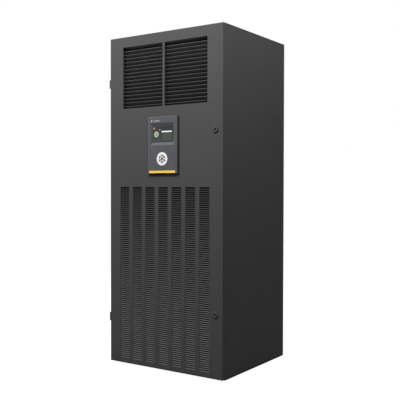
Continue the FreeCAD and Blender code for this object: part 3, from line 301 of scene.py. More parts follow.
@dataclass(frozen=True)
class Finish:
    """Coat or bare surface with slow tone drift, fine grain and softly rounded edges, lightened by wear and
    painted highlight.

    Attributes:
        name: Name of the material.
        colour: Mean colour, linear.
        gloss: Lowest and highest roughness.
        metallic: One on bare metal.
        drift: Share by which the tone drifts over a hand's breadth.
        grain: Grains to a metre.
        stretch: How much finer the grain is along each axis.
        relief: Height of the grain in metres.
        wear_and_highlight: How far the edges go towards the edge colour, as wear and as painted highlight.
        edge: Colour of the edges where they are rubbed and carry a painted highlight.
        rounding: Radius of softened edges in metres.
        specular: Strength of the mirror-like share.
        coat: Weight of a clear coat.
        sheen: Weight of a fibrous sheen.
        clouds: Clouds of tone to a metre.
        specks: Values of the grain between which it shows as specks.
        speck_light: Brightness of a speck against the mean colour.
        rubs: Rubbed patches along the edges to a metre.
        turned: Agreement of the true and the rounded normal on flat ground and at a full edge.
        smears: Smears of gloss to a metre.
        middling: Values between which most of a cloudy pattern lies.
    """

    clouds: ClassVar[float] = 5.0
    specks: ClassVar[tuple[float, float]] = (0.62, 0.75)
    speck_light: ClassVar[float] = 1.6
    rubs: ClassVar[float] = 60.0
    turned: ClassVar[tuple[float, float]] = (0.99, 0.72)
    smears: ClassVar[float] = 18.0
    middling: ClassVar[tuple[float, float]] = (0.3, 0.7)

    name: str
    colour: Colour
    gloss: tuple[float, float] = (0.5, 0.6)
    metallic: float = 0.0
    drift: float = 0.06
    grain: float = 1500.0
    stretch: Point = (1.0, 1.0, 1.0)
    relief: float = 0.03 * MM
    wear_and_highlight: float = 0.25
    edge: Colour = (0.16, 0.16, 0.165)
    rounding: float = 0.8 * MM
    specular: float = 0.5
    coat: float = 0.0
    sheen: float = 0.0

    def tone(self, graph: Graph) -> Socket:
        """Colour that drifts slowly over the surface.

        Args:
            graph: Graph that takes the nodes.

        Returns:
            The colour.
        """
        cloud = graph.noise(graph.place(), self.clouds)
        speck = graph.noise(graph.place(self.stretch), self.grain / 2, 1.0)
        drifting = graph.mix(cloud, shade(self.colour, 1 - self.drift), shade(self.colour, 1 + self.drift))
        spotted = graph.spread(speck, self.specks, (0.0, 3 * self.drift))
        return graph.mix(spotted, drifting, shade(self.colour, self.speck_light))

    def edges(self, graph: Graph) -> tuple[Socket, Socket]:
        """Finds edges by how far a rounded surface would turn from the true one.

        Args:
            graph: Graph that takes the nodes.

        Returns:
            How far the edges are lightened by wear and painted highlight, and the normal of the rounded
            surface.
        """
        rounded = graph.add("ShaderNodeBevel", {"Radius": self.rounding}, samples=4).outputs[0]
        turn = graph.add("ShaderNodeVectorMath", {0: rounded, 1: graph.normal()}, operation="DOT_PRODUCT")
        # Painted highlight as well as wear: every edge is lightened alike, wherever the light comes from.
        worn_and_highlit = graph.spread(turn.outputs["Value"], self.turned, (0.0, self.wear_and_highlight))
        rubbed = graph.spread(graph.noise(graph.place(), self.rubs, 4.0), self.middling, (0.3, 1.0))
        return graph.math("MULTIPLY", worn_and_highlit, rubbed), rounded

    def roughness(self, graph: Graph) -> Socket:
        """Roughness that varies over the surface.

        Args:
            graph: Graph that takes the nodes.

        Returns:
            The roughness.
        """
        smear = graph.noise(graph.place(self.stretch), self.smears, 3.0)
        return graph.spread(smear, self.middling, self.gloss)

    def material(self) -> bpy.types.Material:
        """Builds the finish as a material.

        Returns:
            The material.
        """
        graph = Surface(self.name)
        worn_and_highlit, rounded = self.edges(graph)
        height = graph.noise(graph.place(self.stretch), self.grain, 3.0)
        bump = graph.add("ShaderNodeBump", {"Height": height, "Distance": self.relief, "Normal": rounded})
        values = {
            "Base Color": graph.mix(worn_and_highlit, self.tone(graph), self.edge),
            "Roughness": self.roughness(graph),
            "Metallic": self.metallic,
            "Normal": bump.outputs[0],
            "Specular IOR Level": self.specular,
            "Coat Weight": self.coat,
            "Sheen Weight": self.sheen,
        }
        return graph.dress(values)


@dataclass(frozen=True)
class SpangledZinc(Finish):
    """Galvanised sheet, whose zinc crystals each catch the light in their own way.

    Attributes:
        spangles: Crystals to a metre.
        tones: Brightness of the darkest and the lightest crystal.
    """

    spangles: float = 70.0
    tones: tuple[float, float] = (0.72, 1.15)

    def crystals(self, graph: Graph) -> Socket:
        """Random value of each crystal."""
        cells = graph.add("ShaderNodeTexVoronoi", {"Vector": graph.place(), "Scale": self.spangles})
        return graph.share(cells.outputs["Color"], 0)

    def tone(self, graph: Graph) -> Socket:
        """Colour of each crystal."""
        return graph.mix(self.crystals(graph), *(shade(self.colour, tone) for tone in self.tones))

    def roughness(self, graph: Graph) -> Socket:
        """Roughness of each crystal."""
        return graph.spread(self.crystals(graph), WHOLE, self.gloss)


@dataclass(frozen=True)
class Tarnished(Finish):
    """Bare copper or brass with darker patches of tarnish.

    Attributes:
        tarnish: Colour of the patches.
        amount: How far the patches hide the metal.
        patches: Patches to a metre.
        creep: Values of the pattern between which a patch fades in.
    """

    tarnish: Colour = (0.22, 0.1, 0.06)
    amount: float = 0.6
    patches: float = 28.0
    creep: tuple[float, float] = (0.45, 0.72)

    def tone(self, graph: Graph) -> Socket:
        """Bright metal under patches of tarnish."""
        patch = graph.spread(graph.noise(graph.place(), self.patches, 5.0), self.creep, (0.0, self.amount))
        return graph.mix(patch, super().tone(graph), self.tarnish)


@dataclass(frozen=True)
class FootShadedCoat(Finish):
    """Coat with a band of painted shade, nearly unlit, along the foot of the cabinet.

    Attributes:
        band: Heights between which the band ends.
        foot_shade: Colour of the painted shade in the band.
    """

    band: tuple[float, float] = (12 * MM, 13.5 * MM)
    foot_shade: Colour = (0.01, 0.01, 0.0105)

    def tone(self, graph: Graph) -> Socket:
        """Coat above the band and painted shade below."""
        # Painted shade: below the band the foot of the cabinet is drawn as if unlit.
        foot = graph.spread(graph.share(graph.place(), UPWARD), self.band, (1.0, 0.0))
        return graph.mix(foot, super().tone(graph), self.foot_shade)


@dataclass(frozen=True)
class DustAndLightCoat(Finish):
    """Coat under a pale film of dust and painted light on level faces and lips, thicker near the floor.

    Attributes:
        dust: Colour of the film, which is partly dust and partly painted light.
        cover: Share of the coat that the film hides where it lies thin and where it lies thick.
        heights: Heights between which the film thins out.
        settled_dust_and_light: Share of the film, dust and painted light, at those heights on faces that
            look up.
        clinging_dust_and_light: Share of the film, dust and painted light, at those heights on upright
            faces.
        rise: Upward parts of a normal at which the film starts to lie on a face and lies fully.
        lean: Upward parts of a normal at which the film on upright faces starts to thin and is gone.
        flecks: Thin places in the film to a metre.
        thin: Values of the pattern from thin to thick.
    """

    dust: Colour = (0.415, 0.418, 0.421)
    cover: tuple[float, float] = (0.8, 1.0)
    heights: tuple[float, float] = (0.15, 0.95)
    settled_dust_and_light: tuple[float, float] = (0.1, 0.12)
    clinging_dust_and_light: tuple[float, float] = (0.62, 0.04)
    rise: tuple[float, float] = (0.6, 0.9)
    lean: tuple[float, float] = (0.1, 0.4)
    flecks: float = 90.0
    thin: tuple[float, float] = (0.3, 0.6)

    def tone(self, graph: Graph) -> Socket:
        """Coat under the film of dust and painted light, which lies thinner here and there.

        Args:
            graph: Graph that takes the nodes.

        Returns:
            The colour.
        """
        # Painted light as well as dust: faces that look up are lightened as if lit from above, and upright
        # faces are lightened more towards the floor, as if by light from the floor.
        slope = graph.share(graph.normal(), UPWARD)
        height = graph.share(graph.place(), UPWARD)
        level = graph.spread(slope, self.rise, WHOLE)
        upright = graph.spread(graph.math("ABSOLUTE", slope, 0.0), self.lean, (1.0, 0.0))
        settled_dust_and_light = graph.math("MULTIPLY", level, graph.spread(height, self.heights, self.settled_dust_and_light))
        clinging_dust_and_light = graph.math("MULTIPLY", upright, graph.spread(height, self.heights, self.clinging_dust_and_light))
        film = graph.spread(graph.noise(graph.place(), self.flecks, 3.0), self.thin, self.cover)
        dust_and_light_share = graph.math("MULTIPLY", film, graph.math("ADD", settled_dust_and_light, clinging_dust_and_light))
        return graph.mix(dust_and_light_share, super().tone(graph), self.dust)


@dataclass(frozen=True)
class RimShadedPlastic(Finish):
    """Moulded plastic with painted shade on the upright rims at its sides.

    Attributes:
        rim_shade: Colour of the painted shade on the rims.
        half: Half the width of the moulding.
        band: Distances from its outer faces between which the painted shade fades out.
    """

    rim_shade: Colour = (0.02, 0.02, 0.024)
    half: float = 0.1
    band: tuple[float, float] = (0.4 * MM, 0.8 * MM)

    def tone(self, graph: Graph) -> Socket:
        """Plastic between the rims and painted shade on them.

        Args:
            graph: Graph that takes the nodes.

        Returns:
            The colour.
        """
        # Painted shade: the upright side rims are drawn as if in shadow.
        across = graph.math("ABSOLUTE", graph.share(graph.place(), ACROSS), 0.0)
        inward = graph.math("SUBTRACT", self.half, across)
        return graph.mix(graph.spread(inward, self.band, (1.0, 0.0)), super().tone(graph), self.rim_shade)


@dataclass(frozen=True)
class Resin(Finish):
    """Moulded coloured resin, deeper in colour towards its long edges.

    Attributes:
        rim: Colour at the long edges.
        middle: Height of the bar's middle.
        half: Half the bar's height.
        clear: Share of that half with the mean colour.
        depth: How far the edges go towards the rim's colour.
    """

    rim: Colour = (0.8, 0.4, 0.02)
    middle: float = 0.0
    half: float = 0.01
    clear: float = 0.45
    depth: float = 0.85

    def tone(self, graph: Graph) -> Socket:
        """Colour by the distance from the bar's middle.

        Args:
            graph: Graph that takes the nodes.

        Returns:
            The colour.
        """
        height = graph.share(graph.place(), UPWARD)
        away = graph.math("ABSOLUTE", graph.math("SUBTRACT", height, self.middle), 0.0)
        deeper = graph.spread(away, (self.clear * self.half, self.half), (0.0, self.depth))
        return graph.mix(deeper, super().tone(graph), self.rim)


class Mark(Enum):
    """Shapes in the screen's picture."""

    BOX = "box"
    DISC = "disc"


@dataclass(frozen=True)
class ScreenMark:
    """One shape of the screen's picture, placed in shares of the screen's width and height.

    Attributes:
        shape: Kind of shape.
        across: Place of its middle from the left.
        up: Place of its middle from the bottom.
        wide: Half its width.
        tall: Half its height.
        colour: Its lit colour.
    """

    shape: Mark
    across: float
    up: float
    wide: float
    tall: float
    colour: Colour


@dataclass(frozen=True)
class LitScreen:
    """Touch screen with a lit picture of plain shapes under glass.

    Attributes:
        name: Name of the material.
        ground: Colour of the picture's ground.
        marks: Shapes, drawn in order.
        glow: Strength of the picture's light.
        fade: Brightness of the ground at the bottom and at the top.
        glass: Colour of the unlit glass.
        tint: Share of the picture in the glass's own colour.
        touches: Finger marks to a metre.
        touched: Values of that pattern from clean to marked.
        gloss: Lowest and highest roughness.
        specular: Strength of the mirror-like share.
    """

    name: str
    ground: Colour
    marks: tuple[ScreenMark, ...]
    glow: float = 0.8
    fade: tuple[float, float] = (1.25, 0.7)
    glass: Colour = (0.01, 0.012, 0.012)
    tint: float = 0.35
    touches: float = 55.0
    touched: tuple[float, float] = (0.35, 0.7)
    gloss: tuple[float, float] = (0.08, 0.2)
    specular: float = 0.12

    def cover(self, graph: Graph, mark: ScreenMark, across: Socket, up: Socket) -> Socket:
        """Where a mark covers the picture.

        Args:
            graph: Graph that takes the nodes.
            mark: Mark to draw.
            across: Share of the screen's width.
            up: Share of the screen's height.

        Returns:
            One inside the mark and nought outside.
        """
        if mark.shape is Mark.BOX:
            inside = graph.math("COMPARE", across, mark.across, mark.wide)
            return graph.math("MULTIPLY", inside, graph.math("COMPARE", up, mark.up, mark.tall))
        sideways = graph.math("DIVIDE", graph.math("SUBTRACT", across, mark.across), mark.wide)
        upward = graph.math("DIVIDE", graph.math("SUBTRACT", up, mark.up), mark.tall)
        reach = graph.math("ADD", graph.math("POWER", sideways, 2.0), graph.math("POWER", upward, 2.0))
        return graph.math("LESS_THAN", reach, 1.0)

    def material(self) -> bpy.types.Material:
        """Builds the screen's picture and glass.

        Returns:
            The material.
        """
        graph = Surface(self.name)
        low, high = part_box("touch_screen")
        across = graph.spread(graph.share(graph.place(), ACROSS), (low.x, high.x), WHOLE)
        up = graph.spread(graph.share(graph.place(), UPWARD), (low.z, high.z), WHOLE)
        picture = graph.mix(up, *(shade(self.ground, light) for light in self.fade))
        for mark in self.marks:
            picture = graph.mix(self.cover(graph, mark, across, up), picture, mark.colour)
        fingers = graph.noise(graph.place(), self.touches, 4.0)
        values = {
            "Base Color": graph.mix(self.tint, self.glass, picture),
            "Emission Color": picture,
            "Emission Strength": self.glow,
            "Roughness": graph.spread(fingers, self.touched, self.gloss),
            "Specular IOR Level": self.specular,
        }
        return graph.dress(values)


SCREEN_PALE = (0.46, 0.5, 0.44)
SCREEN_LINE = (0.075, 0.079, 0.074)
SCREEN_MARKS = (
    ScreenMark(Mark.BOX, 0.5, 0.9, 0.5, 0.1, (0.026, 0.028, 0.029)),
    ScreenMark(Mark.DISC, 0.075, 0.885, 0.05, 0.075, (0.36, 0.18, 0.07)),
    ScreenMark(Mark.DISC, 0.17, 0.89, 0.014, 0.025, (0.14, 0.07, 0.05)),
    ScreenMark(Mark.DISC, 0.35, 0.79, 0.034, 0.05, (0.26, 0.28, 0.23)),
    ScreenMark(Mark.DISC, 0.185, 0.5, 0.108, 0.185, SCREEN_PALE),
    ScreenMark(Mark.DISC, 0.185, 0.5, 0.072, 0.125, (0.19, 0.28, 0.07)),
    ScreenMark(Mark.BOX, 0.185, 0.55, 0.008, 0.07, SCREEN_PALE),
    ScreenMark(Mark.BOX, 0.7, 0.655, 0.25, 0.042, (0.76, 0.76, 0.76)),
    *[ScreenMark(Mark.BOX, 0.7, up, 0.23, 0.03, SCREEN_LINE) for up in (0.5, 0.39, 0.28, 0.17)],
    ScreenMark(Mark.BOX, 0.09, 0.12, 0.03, 0.035, SCREEN_LINE),
    ScreenMark(Mark.BOX, 0.3, 0.12, 0.06, 0.02, SCREEN_LINE),
)

PAINT = (0.072, 0.072, 0.0725)
WHITE_ENAMEL = Finish("white_enamel", (0.86, 0.86, 0.85), (0.28, 0.36), wear_and_highlight=0.0, drift=0.015, coat=0.3)
DARK_INLAY = Finish("dark_inlay", (0.02, 0.021, 0.024), (0.35, 0.45), wear_and_highlight=0.05)
SCREW_STEEL = Finish(
    "screw_steel", (0.42, 0.42, 0.43), (0.25, 0.4), metallic=1.0, wear_and_highlight=0.15, edge=(0.7, 0.7, 0.7)
)
LAMP_LENS = Finish("lamp_lens", (0.45, 0.46, 0.48), (0.12, 0.2), wear_and_highlight=0.0, coat=0.5)
SIGNAL_YELLOW = Finish("signal_yellow", (0.75, 0.45, 0.02), (0.3, 0.4), wear_and_highlight=0.1, edge=(0.8, 0.6, 0.2))
# The slats' coat is darker than the cabinet's as painted shade in the gaps between them, and carries the
# film of dust and painted light.
SLAT_COAT = DustAndLightCoat("slat_powder_coat", shade(PAINT, 0.8), (0.5, 0.6), rounding=0.3 * MM, specular=0.05)


def amber_resin() -> Resin:
    """Finish of the amber bar, placed on the bar itself."""
    low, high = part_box("accent_bar")
    return Resin(
        "amber_resin", (0.93, 0.63, 0.055), (0.2, 0.3), wear_and_highlight=0.0, drift=0.03, coat=0.4,
        middle=(low.z + high.z) / 2, half=(high.z - low.z) / 2,
    )


FINISHES: dict[Slot, Finish | LitScreen] = {
    # The cabinet's coat carries a band of painted shade along its foot.
    Slot.CABINET: FootShadedCoat("cabinet_powder_coat", PAINT, (0.5, 0.6), specular=0.02),
    Slot.BLADE: Finish(
        "blade_powder_coat", shade(PAINT, 1.4), (0.45, 0.55), stretch=(0.02, 1.0, 1.0), specular=0.05,
        rounding=0.5 * MM,
    ),
    Slot.BLACK: Finish("matt_black_paint", (0.012, 0.012, 0.013), (0.55, 0.7), edge=(0.06, 0.06, 0.06)),
    Slot.ZINC: SpangledZinc(
        "galvanised_sheet", (0.52, 0.54, 0.55), (0.3, 0.55), metallic=1.0, edge=(0.7, 0.7, 0.7),
    ),
    Slot.STAINLESS: Finish(
        "brushed_stainless", (0.58, 0.57, 0.55), (0.22, 0.38), metallic=1.0, grain=900.0,
        stretch=(0.02, 1.0, 1.0), edge=(0.7, 0.7, 0.7),
    ),
    Slot.BOX: Finish("light_grey_coat", (0.42, 0.43, 0.42), (0.45, 0.55), edge=(0.6, 0.6, 0.6)),
    Slot.HINGE: Finish("hinge_coat", shade(PAINT, 0.8), (0.38, 0.5), edge=(0.3, 0.3, 0.3), wear_and_highlight=0.4),
    Slot.LATCH: Finish(
        "latch_coat", (0.062, 0.062, 0.063), (0.32, 0.45), edge=(0.14, 0.14, 0.14), wear_and_highlight=0.3, specular=0.15,
    ),
    Slot.RUBBER: Finish(
        "black_rubber", (0.012, 0.012, 0.012), (0.7, 0.85), edge=(0.03, 0.03, 0.03), grain=700.0,
    ),
    Slot.CARD: Finish(
        "black_board", (0.03, 0.029, 0.028), (0.75, 0.9), drift=0.12, grain=350.0, stretch=(0.15, 1.0, 1.0),
        edge=(0.09, 0.085, 0.08), relief=0.08 * MM,
    ),
    Slot.CLOTH: Finish(
        "charcoal_cloth", (0.01, 0.0104, 0.0108), (0.85, 0.95), drift=0.15, grain=1100.0, relief=0.12 * MM,
        sheen=0.2, edge=(0.06, 0.06, 0.062), wear_and_highlight=0.35, specular=0.1,
    ),
    Slot.FIN: Finish(
        "mill_aluminium", (0.72, 0.73, 0.74), (0.25, 0.4), metallic=1.0, grain=700.0,
        stretch=(1.0, 1.0, 0.03), edge=(0.8, 0.8, 0.8),
    ),
    Slot.COPPER: Tarnished(
        "drawn_copper", (0.72, 0.36, 0.22), (0.22, 0.42), metallic=1.0, edge=(0.8, 0.5, 0.35),
    ),
    Slot.BRASS: Tarnished(
        "forged_brass", (0.68, 0.48, 0.18), (0.25, 0.4), metallic=1.0, edge=(0.8, 0.65, 0.35),
        tarnish=(0.3, 0.18, 0.06),
    ),
    Slot.DRIER: Finish("drier_coat", (0.16, 0.18, 0.2), (0.3, 0.42), edge=(0.3, 0.3, 0.3)),
    Slot.WHEEL: SpangledZinc(
        "wheel_zinc", (0.45, 0.47, 0.48), (0.35, 0.6), metallic=1.0, edge=(0.65, 0.65, 0.65),
    ),
    Slot.SWITCH: Finish("switch_plastic", (0.2, 0.2, 0.21), (0.45, 0.6), edge=(0.3, 0.3, 0.3), grain=900.0),
    Slot.KNOB: Finish("signal_red", (0.5, 0.03, 0.02), (0.28, 0.38), edge=(0.6, 0.15, 0.1), coat=0.2),
    # The display's moulding carries painted shade on its upright side rims.
    Slot.DISPLAY: RimShadedPlastic(
        "display_plastic", (0.088, 0.09, 0.0995), (0.42, 0.52), edge=(0.2, 0.2, 0.22), grain=1100.0,
        specular=0.1, half=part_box("display_housing")[1].x,
    ),
    Slot.SCREEN: LitScreen("lit_screen", (0.036, 0.039, 0.036), SCREEN_MARKS),
    Slot.AMBER: amber_resin(),
}


class Palette:
    """Materials made once from their finishes."""

    made: ClassVar[dict[str, bpy.types.Material]] = {}

    @classmethod
    def material(cls, finish: Finish | LitScreen) -> bpy.types.Material:
        """Material of a finish, built at its first use.

        Args:
            finish: Finish to look up.

        Returns:
            Its material.
        """
        if finish.name not in cls.made:
            cls.made[finish.name] = finish.material()
        return cls.made[finish.name]


def hold(*held: Piece) -> None:
    """Selects pieces alone, and makes the first the active one.

    Args:
        *held: Pieces to select.
    """
    bpy.ops.object.select_all(action="DESELECT")
    for piece in held:
        piece.select_set(True)
    bpy.context.view_layer.objects.active = held[0]


def started(name: str) -> Piece:
    """Names the primitive just added and puts its place into its mesh.

    Args:
        name: Name of the piece.

    Returns:
        The piece.
    """
    piece = bpy.context.object
    piece.name = name
    bpy.ops.object.transform_apply(location=True, rotation=True, scale=True)
    return piece


def block(name: str, low: Sequence[float], high: Sequence[float]) -> Piece:
    """Starts a piece as a box.

    Args:
        name: Name of the piece.
        low: Lowest corner.
        high: Highest corner.

    Returns:
        The box.
    """
    bpy.ops.object.select_all(action="DESELECT")
    low, high = Vector(low), Vector(high)
    bpy.ops.mesh.primitive_cube_add(size=1, location=(low + high) / 2)
    bpy.context.object.scale = high - low
    return started(name)


def drum(
    name: str, foot: Sequence[float], radius: float, depth: float, toward: Toward, sides: int = 24
) -> Piece:
    """Starts a piece as a round or many-sided bar.

    Args:
        name: Name of the piece.
        foot: Middle of the bar's rear face.
        radius: Radius of its corners.
        depth: Length of the bar.
        toward: Direction from its rear face to its front.
        sides: Number of its sides.

    Returns:
        The bar.
    """
    bpy.ops.object.select_all(action="DESELECT")
    turn = Vector(Toward.UP.value).rotation_difference(toward.vector).to_euler()
    centre = Vector(foot) + toward.vector * depth / 2
    bpy.ops.mesh.primitive_cylinder_add(
        vertices=sides, radius=radius, depth=depth, location=centre, rotation=turn
    )
    return started(name)


@contextmanager
def editing(piece: Piece) -> Iterator[None]:
    """Holds one piece in edit mode, with nothing in it selected.

    Args:
        piece: Piece to edit.
    """
    hold(piece)
    bpy.ops.object.mode_set(mode="EDIT")
    bpy.ops.mesh.select_all(action="DESELECT")
    yield
    bpy.ops.object.mode_set(mode="OBJECT")


def pick_faces(piece: Piece, wanted: Callable[[bmesh.types.BMFace], bool]) -> None:
    """Selects the faces that pass a test, in edit mode.

    Args:
        piece: Piece in edit mode.
        wanted: Test of one face.
    """
    bpy.ops.mesh.select_mode(type="FACE")
    bpy.ops.mesh.select_all(action="DESELECT")
    for face in bmesh.from_edit_mesh(piece.data).faces:
        face.select_set(wanted(face))
    bmesh.update_edit_mesh(piece.data)


def pick_edges(piece: Piece, wanted: Callable[[bmesh.types.BMEdge], bool]) -> None:
    """Selects the edges that pass a test, in edit mode.

    Args:
        piece: Piece in edit mode.
        wanted: Test of one edge.
    """
    bpy.ops.mesh.select_mode(type="EDGE")
    bpy.ops.mesh.select_all(action="DESELECT")
    for edge in bmesh.from_edit_mesh(piece.data).edges:
        edge.select_set(wanted(edge))
    bmesh.update_edit_mesh(piece.data)


def facing(toward: Toward) -> Callable[[bmesh.types.BMFace], bool]:
    """Test for faces square to a direction.

    Args:
        toward: Direction that the faces look in.

    Returns:
        The test.
    """
    return lambda face: face.normal.dot(toward.vector) > SQUARE


def foremost(piece: Piece, toward: Toward) -> Callable[[bmesh.types.BMEdge], bool]:
    """Test for edges in the plane that lies furthest in a direction.

    Args:
        piece: Piece that holds the edges.
        toward: Direction.

    Returns:
        The test.
    """
    reach = max(vertex.co.dot(toward.vector) for vertex in bmesh.from_edit_mesh(piece.data).verts)
    return lambda edge: all(abs(vertex.co.dot(toward.vector) - reach) < TOUCH for vertex in edge.verts)


def looks_along(face: bmesh.types.BMFace) -> bool:
    """Whether a face looks to the front or to the rear."""
    return abs(face.normal.y) > SLANTED


def runs_deep(edge: bmesh.types.BMEdge) -> bool:
    """Whether an edge runs from front to rear."""
    return abs((edge.verts[0].co - edge.verts[1].co).normalized().y) > NEARLY_SQUARE


def lies_at(edge: bmesh.types.BMEdge, level: float) -> bool:
    """Whether an edge lies at one height."""
    return all(abs(vertex.co.z - level) < TOUCH for vertex in edge.verts)


def push(depth: float) -> None:
    """Draws the picked faces out to the rear, or to the front where the depth is below nought."""
    bpy.ops.mesh.extrude_region_move(TRANSFORM_OT_translate={"value": (0, depth, 0)})


def soften(piece: Piece, width: float, segments: int = 2) -> None:
    """Rounds every sharp edge of a piece.

    Args:
        piece: Piece to round.
        width: Width of the rounding.
        segments: Number of its facets.
    """
    modifier = piece.modifiers.new("soften", "BEVEL")
    modifier.width = width
    modifier.segments = segments
    modifier.limit_method = "ANGLE"
    hold(piece)
    bpy.ops.object.modifier_apply(modifier=modifier.name)


def carve(piece: Piece, cutter: Piece) -> None:
    """Takes one shape out of another and clears the cutter away.

    Args:
        piece: Piece that loses the shape.
        cutter: Shape to take out.
    """
    modifier = piece.modifiers.new("carve", "BOOLEAN")
    modifier.operation = "DIFFERENCE"
    modifier.solver = "EXACT"
    modifier.object = cutter
    hold(piece)
    bpy.ops.object.modifier_apply(modifier=modifier.name)
    bpy.data.objects.remove(cutter)


def joined(name: str, parts: Sequence[Piece]) -> Piece:
    """Joins pieces into one.

    Args:
        name: Name of the joined piece.
        parts: Pieces to join.

    Returns:
        The joined piece.
    """
    hold(*parts)
    bpy.ops.object.join()
    parts[0].name = name
    return parts[0]


def copies(name: str, pattern: Piece, places: Sequence[Matrix]) -> Piece:
    """Repeats a modelled piece, each copy with its own mesh, and joins the copies.

    Args:
        name: Name of the joined piece.
        pattern: Piece to repeat, which is used up.
        places: Where each copy goes.

    Returns:
        The joined piece.
    """
    made = []
    for place in places:
        copy = pattern.copy()
        copy.data = pattern.data.copy()
        copy.data.transform(place)
        bpy.context.scene.collection.objects.link(copy)
        made.append(copy)
    bpy.data.objects.remove(pattern)
    return joined(name, made)


def placed(x: float, y: float, z: float, toward: Toward = Toward.FRONT) -> Matrix:
    """Place of a fitting that was modelled at the origin facing the front.

    Args:
        x: Place across.
        y: Place along.
        z: Place upward.
        toward: Direction it faces there.

    Returns:
        The place as a matrix.
    """
    turn = Toward.FRONT.vector.rotation_difference(toward.vector).to_matrix().to_4x4()
    return Matrix.Translation((x, y, z)) @ turn


def seat(
    piece: Piece, body: Body, slot: Slot, finish: Finish | None = None, stands_for: Sequence[str] = ()
) -> Piece:
    """Cleans a modelled piece, dresses it, hangs it on its body and reports it.

    Args:
        piece: Modelled piece.
        body: Body that carries it.
        slot: Material slot that it belongs to.
        finish: Its own finish, where the slot's isn't it.
        stands_for: Nodes of the frame that it shows instead.

    Returns:
        The piece.
    """
    with editing(piece):
        bpy.ops.mesh.select_all(action="SELECT")
        bpy.ops.mesh.remove_doubles(threshold=TOUCH)
        bpy.ops.mesh.normals_make_consistent(inside=False)
    hold(piece)
    bpy.ops.object.shade_smooth_by_angle(angle=SMOOTH_ANGLE)
    piece.data.materials.clear()
    piece.data.materials.append(Palette.material(finish or FINISHES[slot]))
    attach(piece, body.value)
    if stands_for:
        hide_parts(*stands_for)
    LOG.info("%s rides on %s, %d faces", piece.name, body.value, len(piece.data.polygons))
    return piece


@dataclass
class Fastener:
    """Screw or rivet head, modelled at the origin with its seat at y = 0.

    Attributes:
        radius: Radius of the head.
        height: Height of the head.
        drive: How it is turned.
        crown: Rounding of the head as a share of its height.
        land: Width of the ring round the drive as a share of the radius.
        dimple: Depth of a rivet's dimple as a share of the height.
        core: Half width of a cross recess as a share of the radius.
        arm: Length of its arms as a share of the radius.
        recess: Top of its cutter and its floor as shares of the height.
    """

    radius: float
    height: float
    drive: Drive = Drive.CROSS
    crown: float = 0.55
    land: float = 0.35
    dimple: float = 0.25
    core: float = 0.11
    arm: float = 0.45
    recess: tuple[float, float] = (1.2, 0.35)

    def cross(self) -> Piece:
        """Cutter of a cross recess: a core whose four sides are drawn out into arms.

        Returns:
            The cutter.
        """
        core = self.core * self.radius
        top, floor = (-share * self.height for share in self.recess)
        cutter = block("cross", (-core, top, -core), (core, floor, core))
        with editing(cutter):
            pick_faces(cutter, lambda face: not looks_along(face))
            bpy.ops.mesh.extrude_faces_move(TRANSFORM_OT_shrink_fatten={"value": self.arm * self.radius})
        return cutter

    def model(self) -> Piece:
        """Models one head.

        Returns:
            The head.
        """
        head = drum("head", (0, 0, 0), self.radius, self.height, Toward.FRONT)
        with editing(head):
            pick_edges(head, foremost(head, Toward.FRONT))
            bpy.ops.mesh.bevel(offset=self.crown * self.height, segments=3)
            pick_faces(head, facing(Toward.FRONT))
            bpy.ops.mesh.inset(thickness=self.land * self.radius)
            if self.drive is Drive.RIVET:
                push(self.dimple * self.height)
        if self.drive is Drive.CROSS:
            carve(head, self.cross())
        return head

    def set_out(self, name: str, places: Sequence[Matrix], body: Body, slot: Slot, finish: Finish) -> Piece:
        """Puts one head at each place.

        Args:
            name: Name of the group.
            places: Where the heads sit.
            body: Body that carries them.
            slot: Material slot.
            finish: Finish of the heads.

        Returns:
            The joined heads.
        """
        return seat(copies(name, self.model(), places), body, slot, finish)


SMALL_SCREW = Fastener(3.4 * MM, 1.4 * MM)
COVER_SCREW = Fastener(4.5 * MM, 2.0 * MM)
BLIND_RIVET = Fastener(3.2 * MM, 1.1 * MM, Drive.RIVET)


class SubAssembly:
    """Group of the frame's nodes, with the fittings that are added to them.

    Attributes:
        nodes: Names of the nodes.
        own: Finishes of nodes that don't wear their slot's.
        slots: Material slot of every node.
    """

    nodes: ClassVar[tuple[str, ...]] = ()
    own: ClassVar[dict[str, Finish]] = {}
    slots: ClassVar[dict[str, Slot]] = {
        part["node"]: Slot(part["material_slot"]) for part in frame["record"]["subparts"]
    }

    def build(self) -> None:
        """Models the group's own fittings."""

    def dress(self) -> None:
        """Gives each node of the group its own finish or that of its slot."""
        for name in self.nodes:
            materials = frame["nodes"][name].data.materials
            materials.clear()
            materials.append(Palette.material(self.own.get(name, FINISHES[self.slots[name]])))
            LOG.info("%s wears %s", name, materials[0].name)


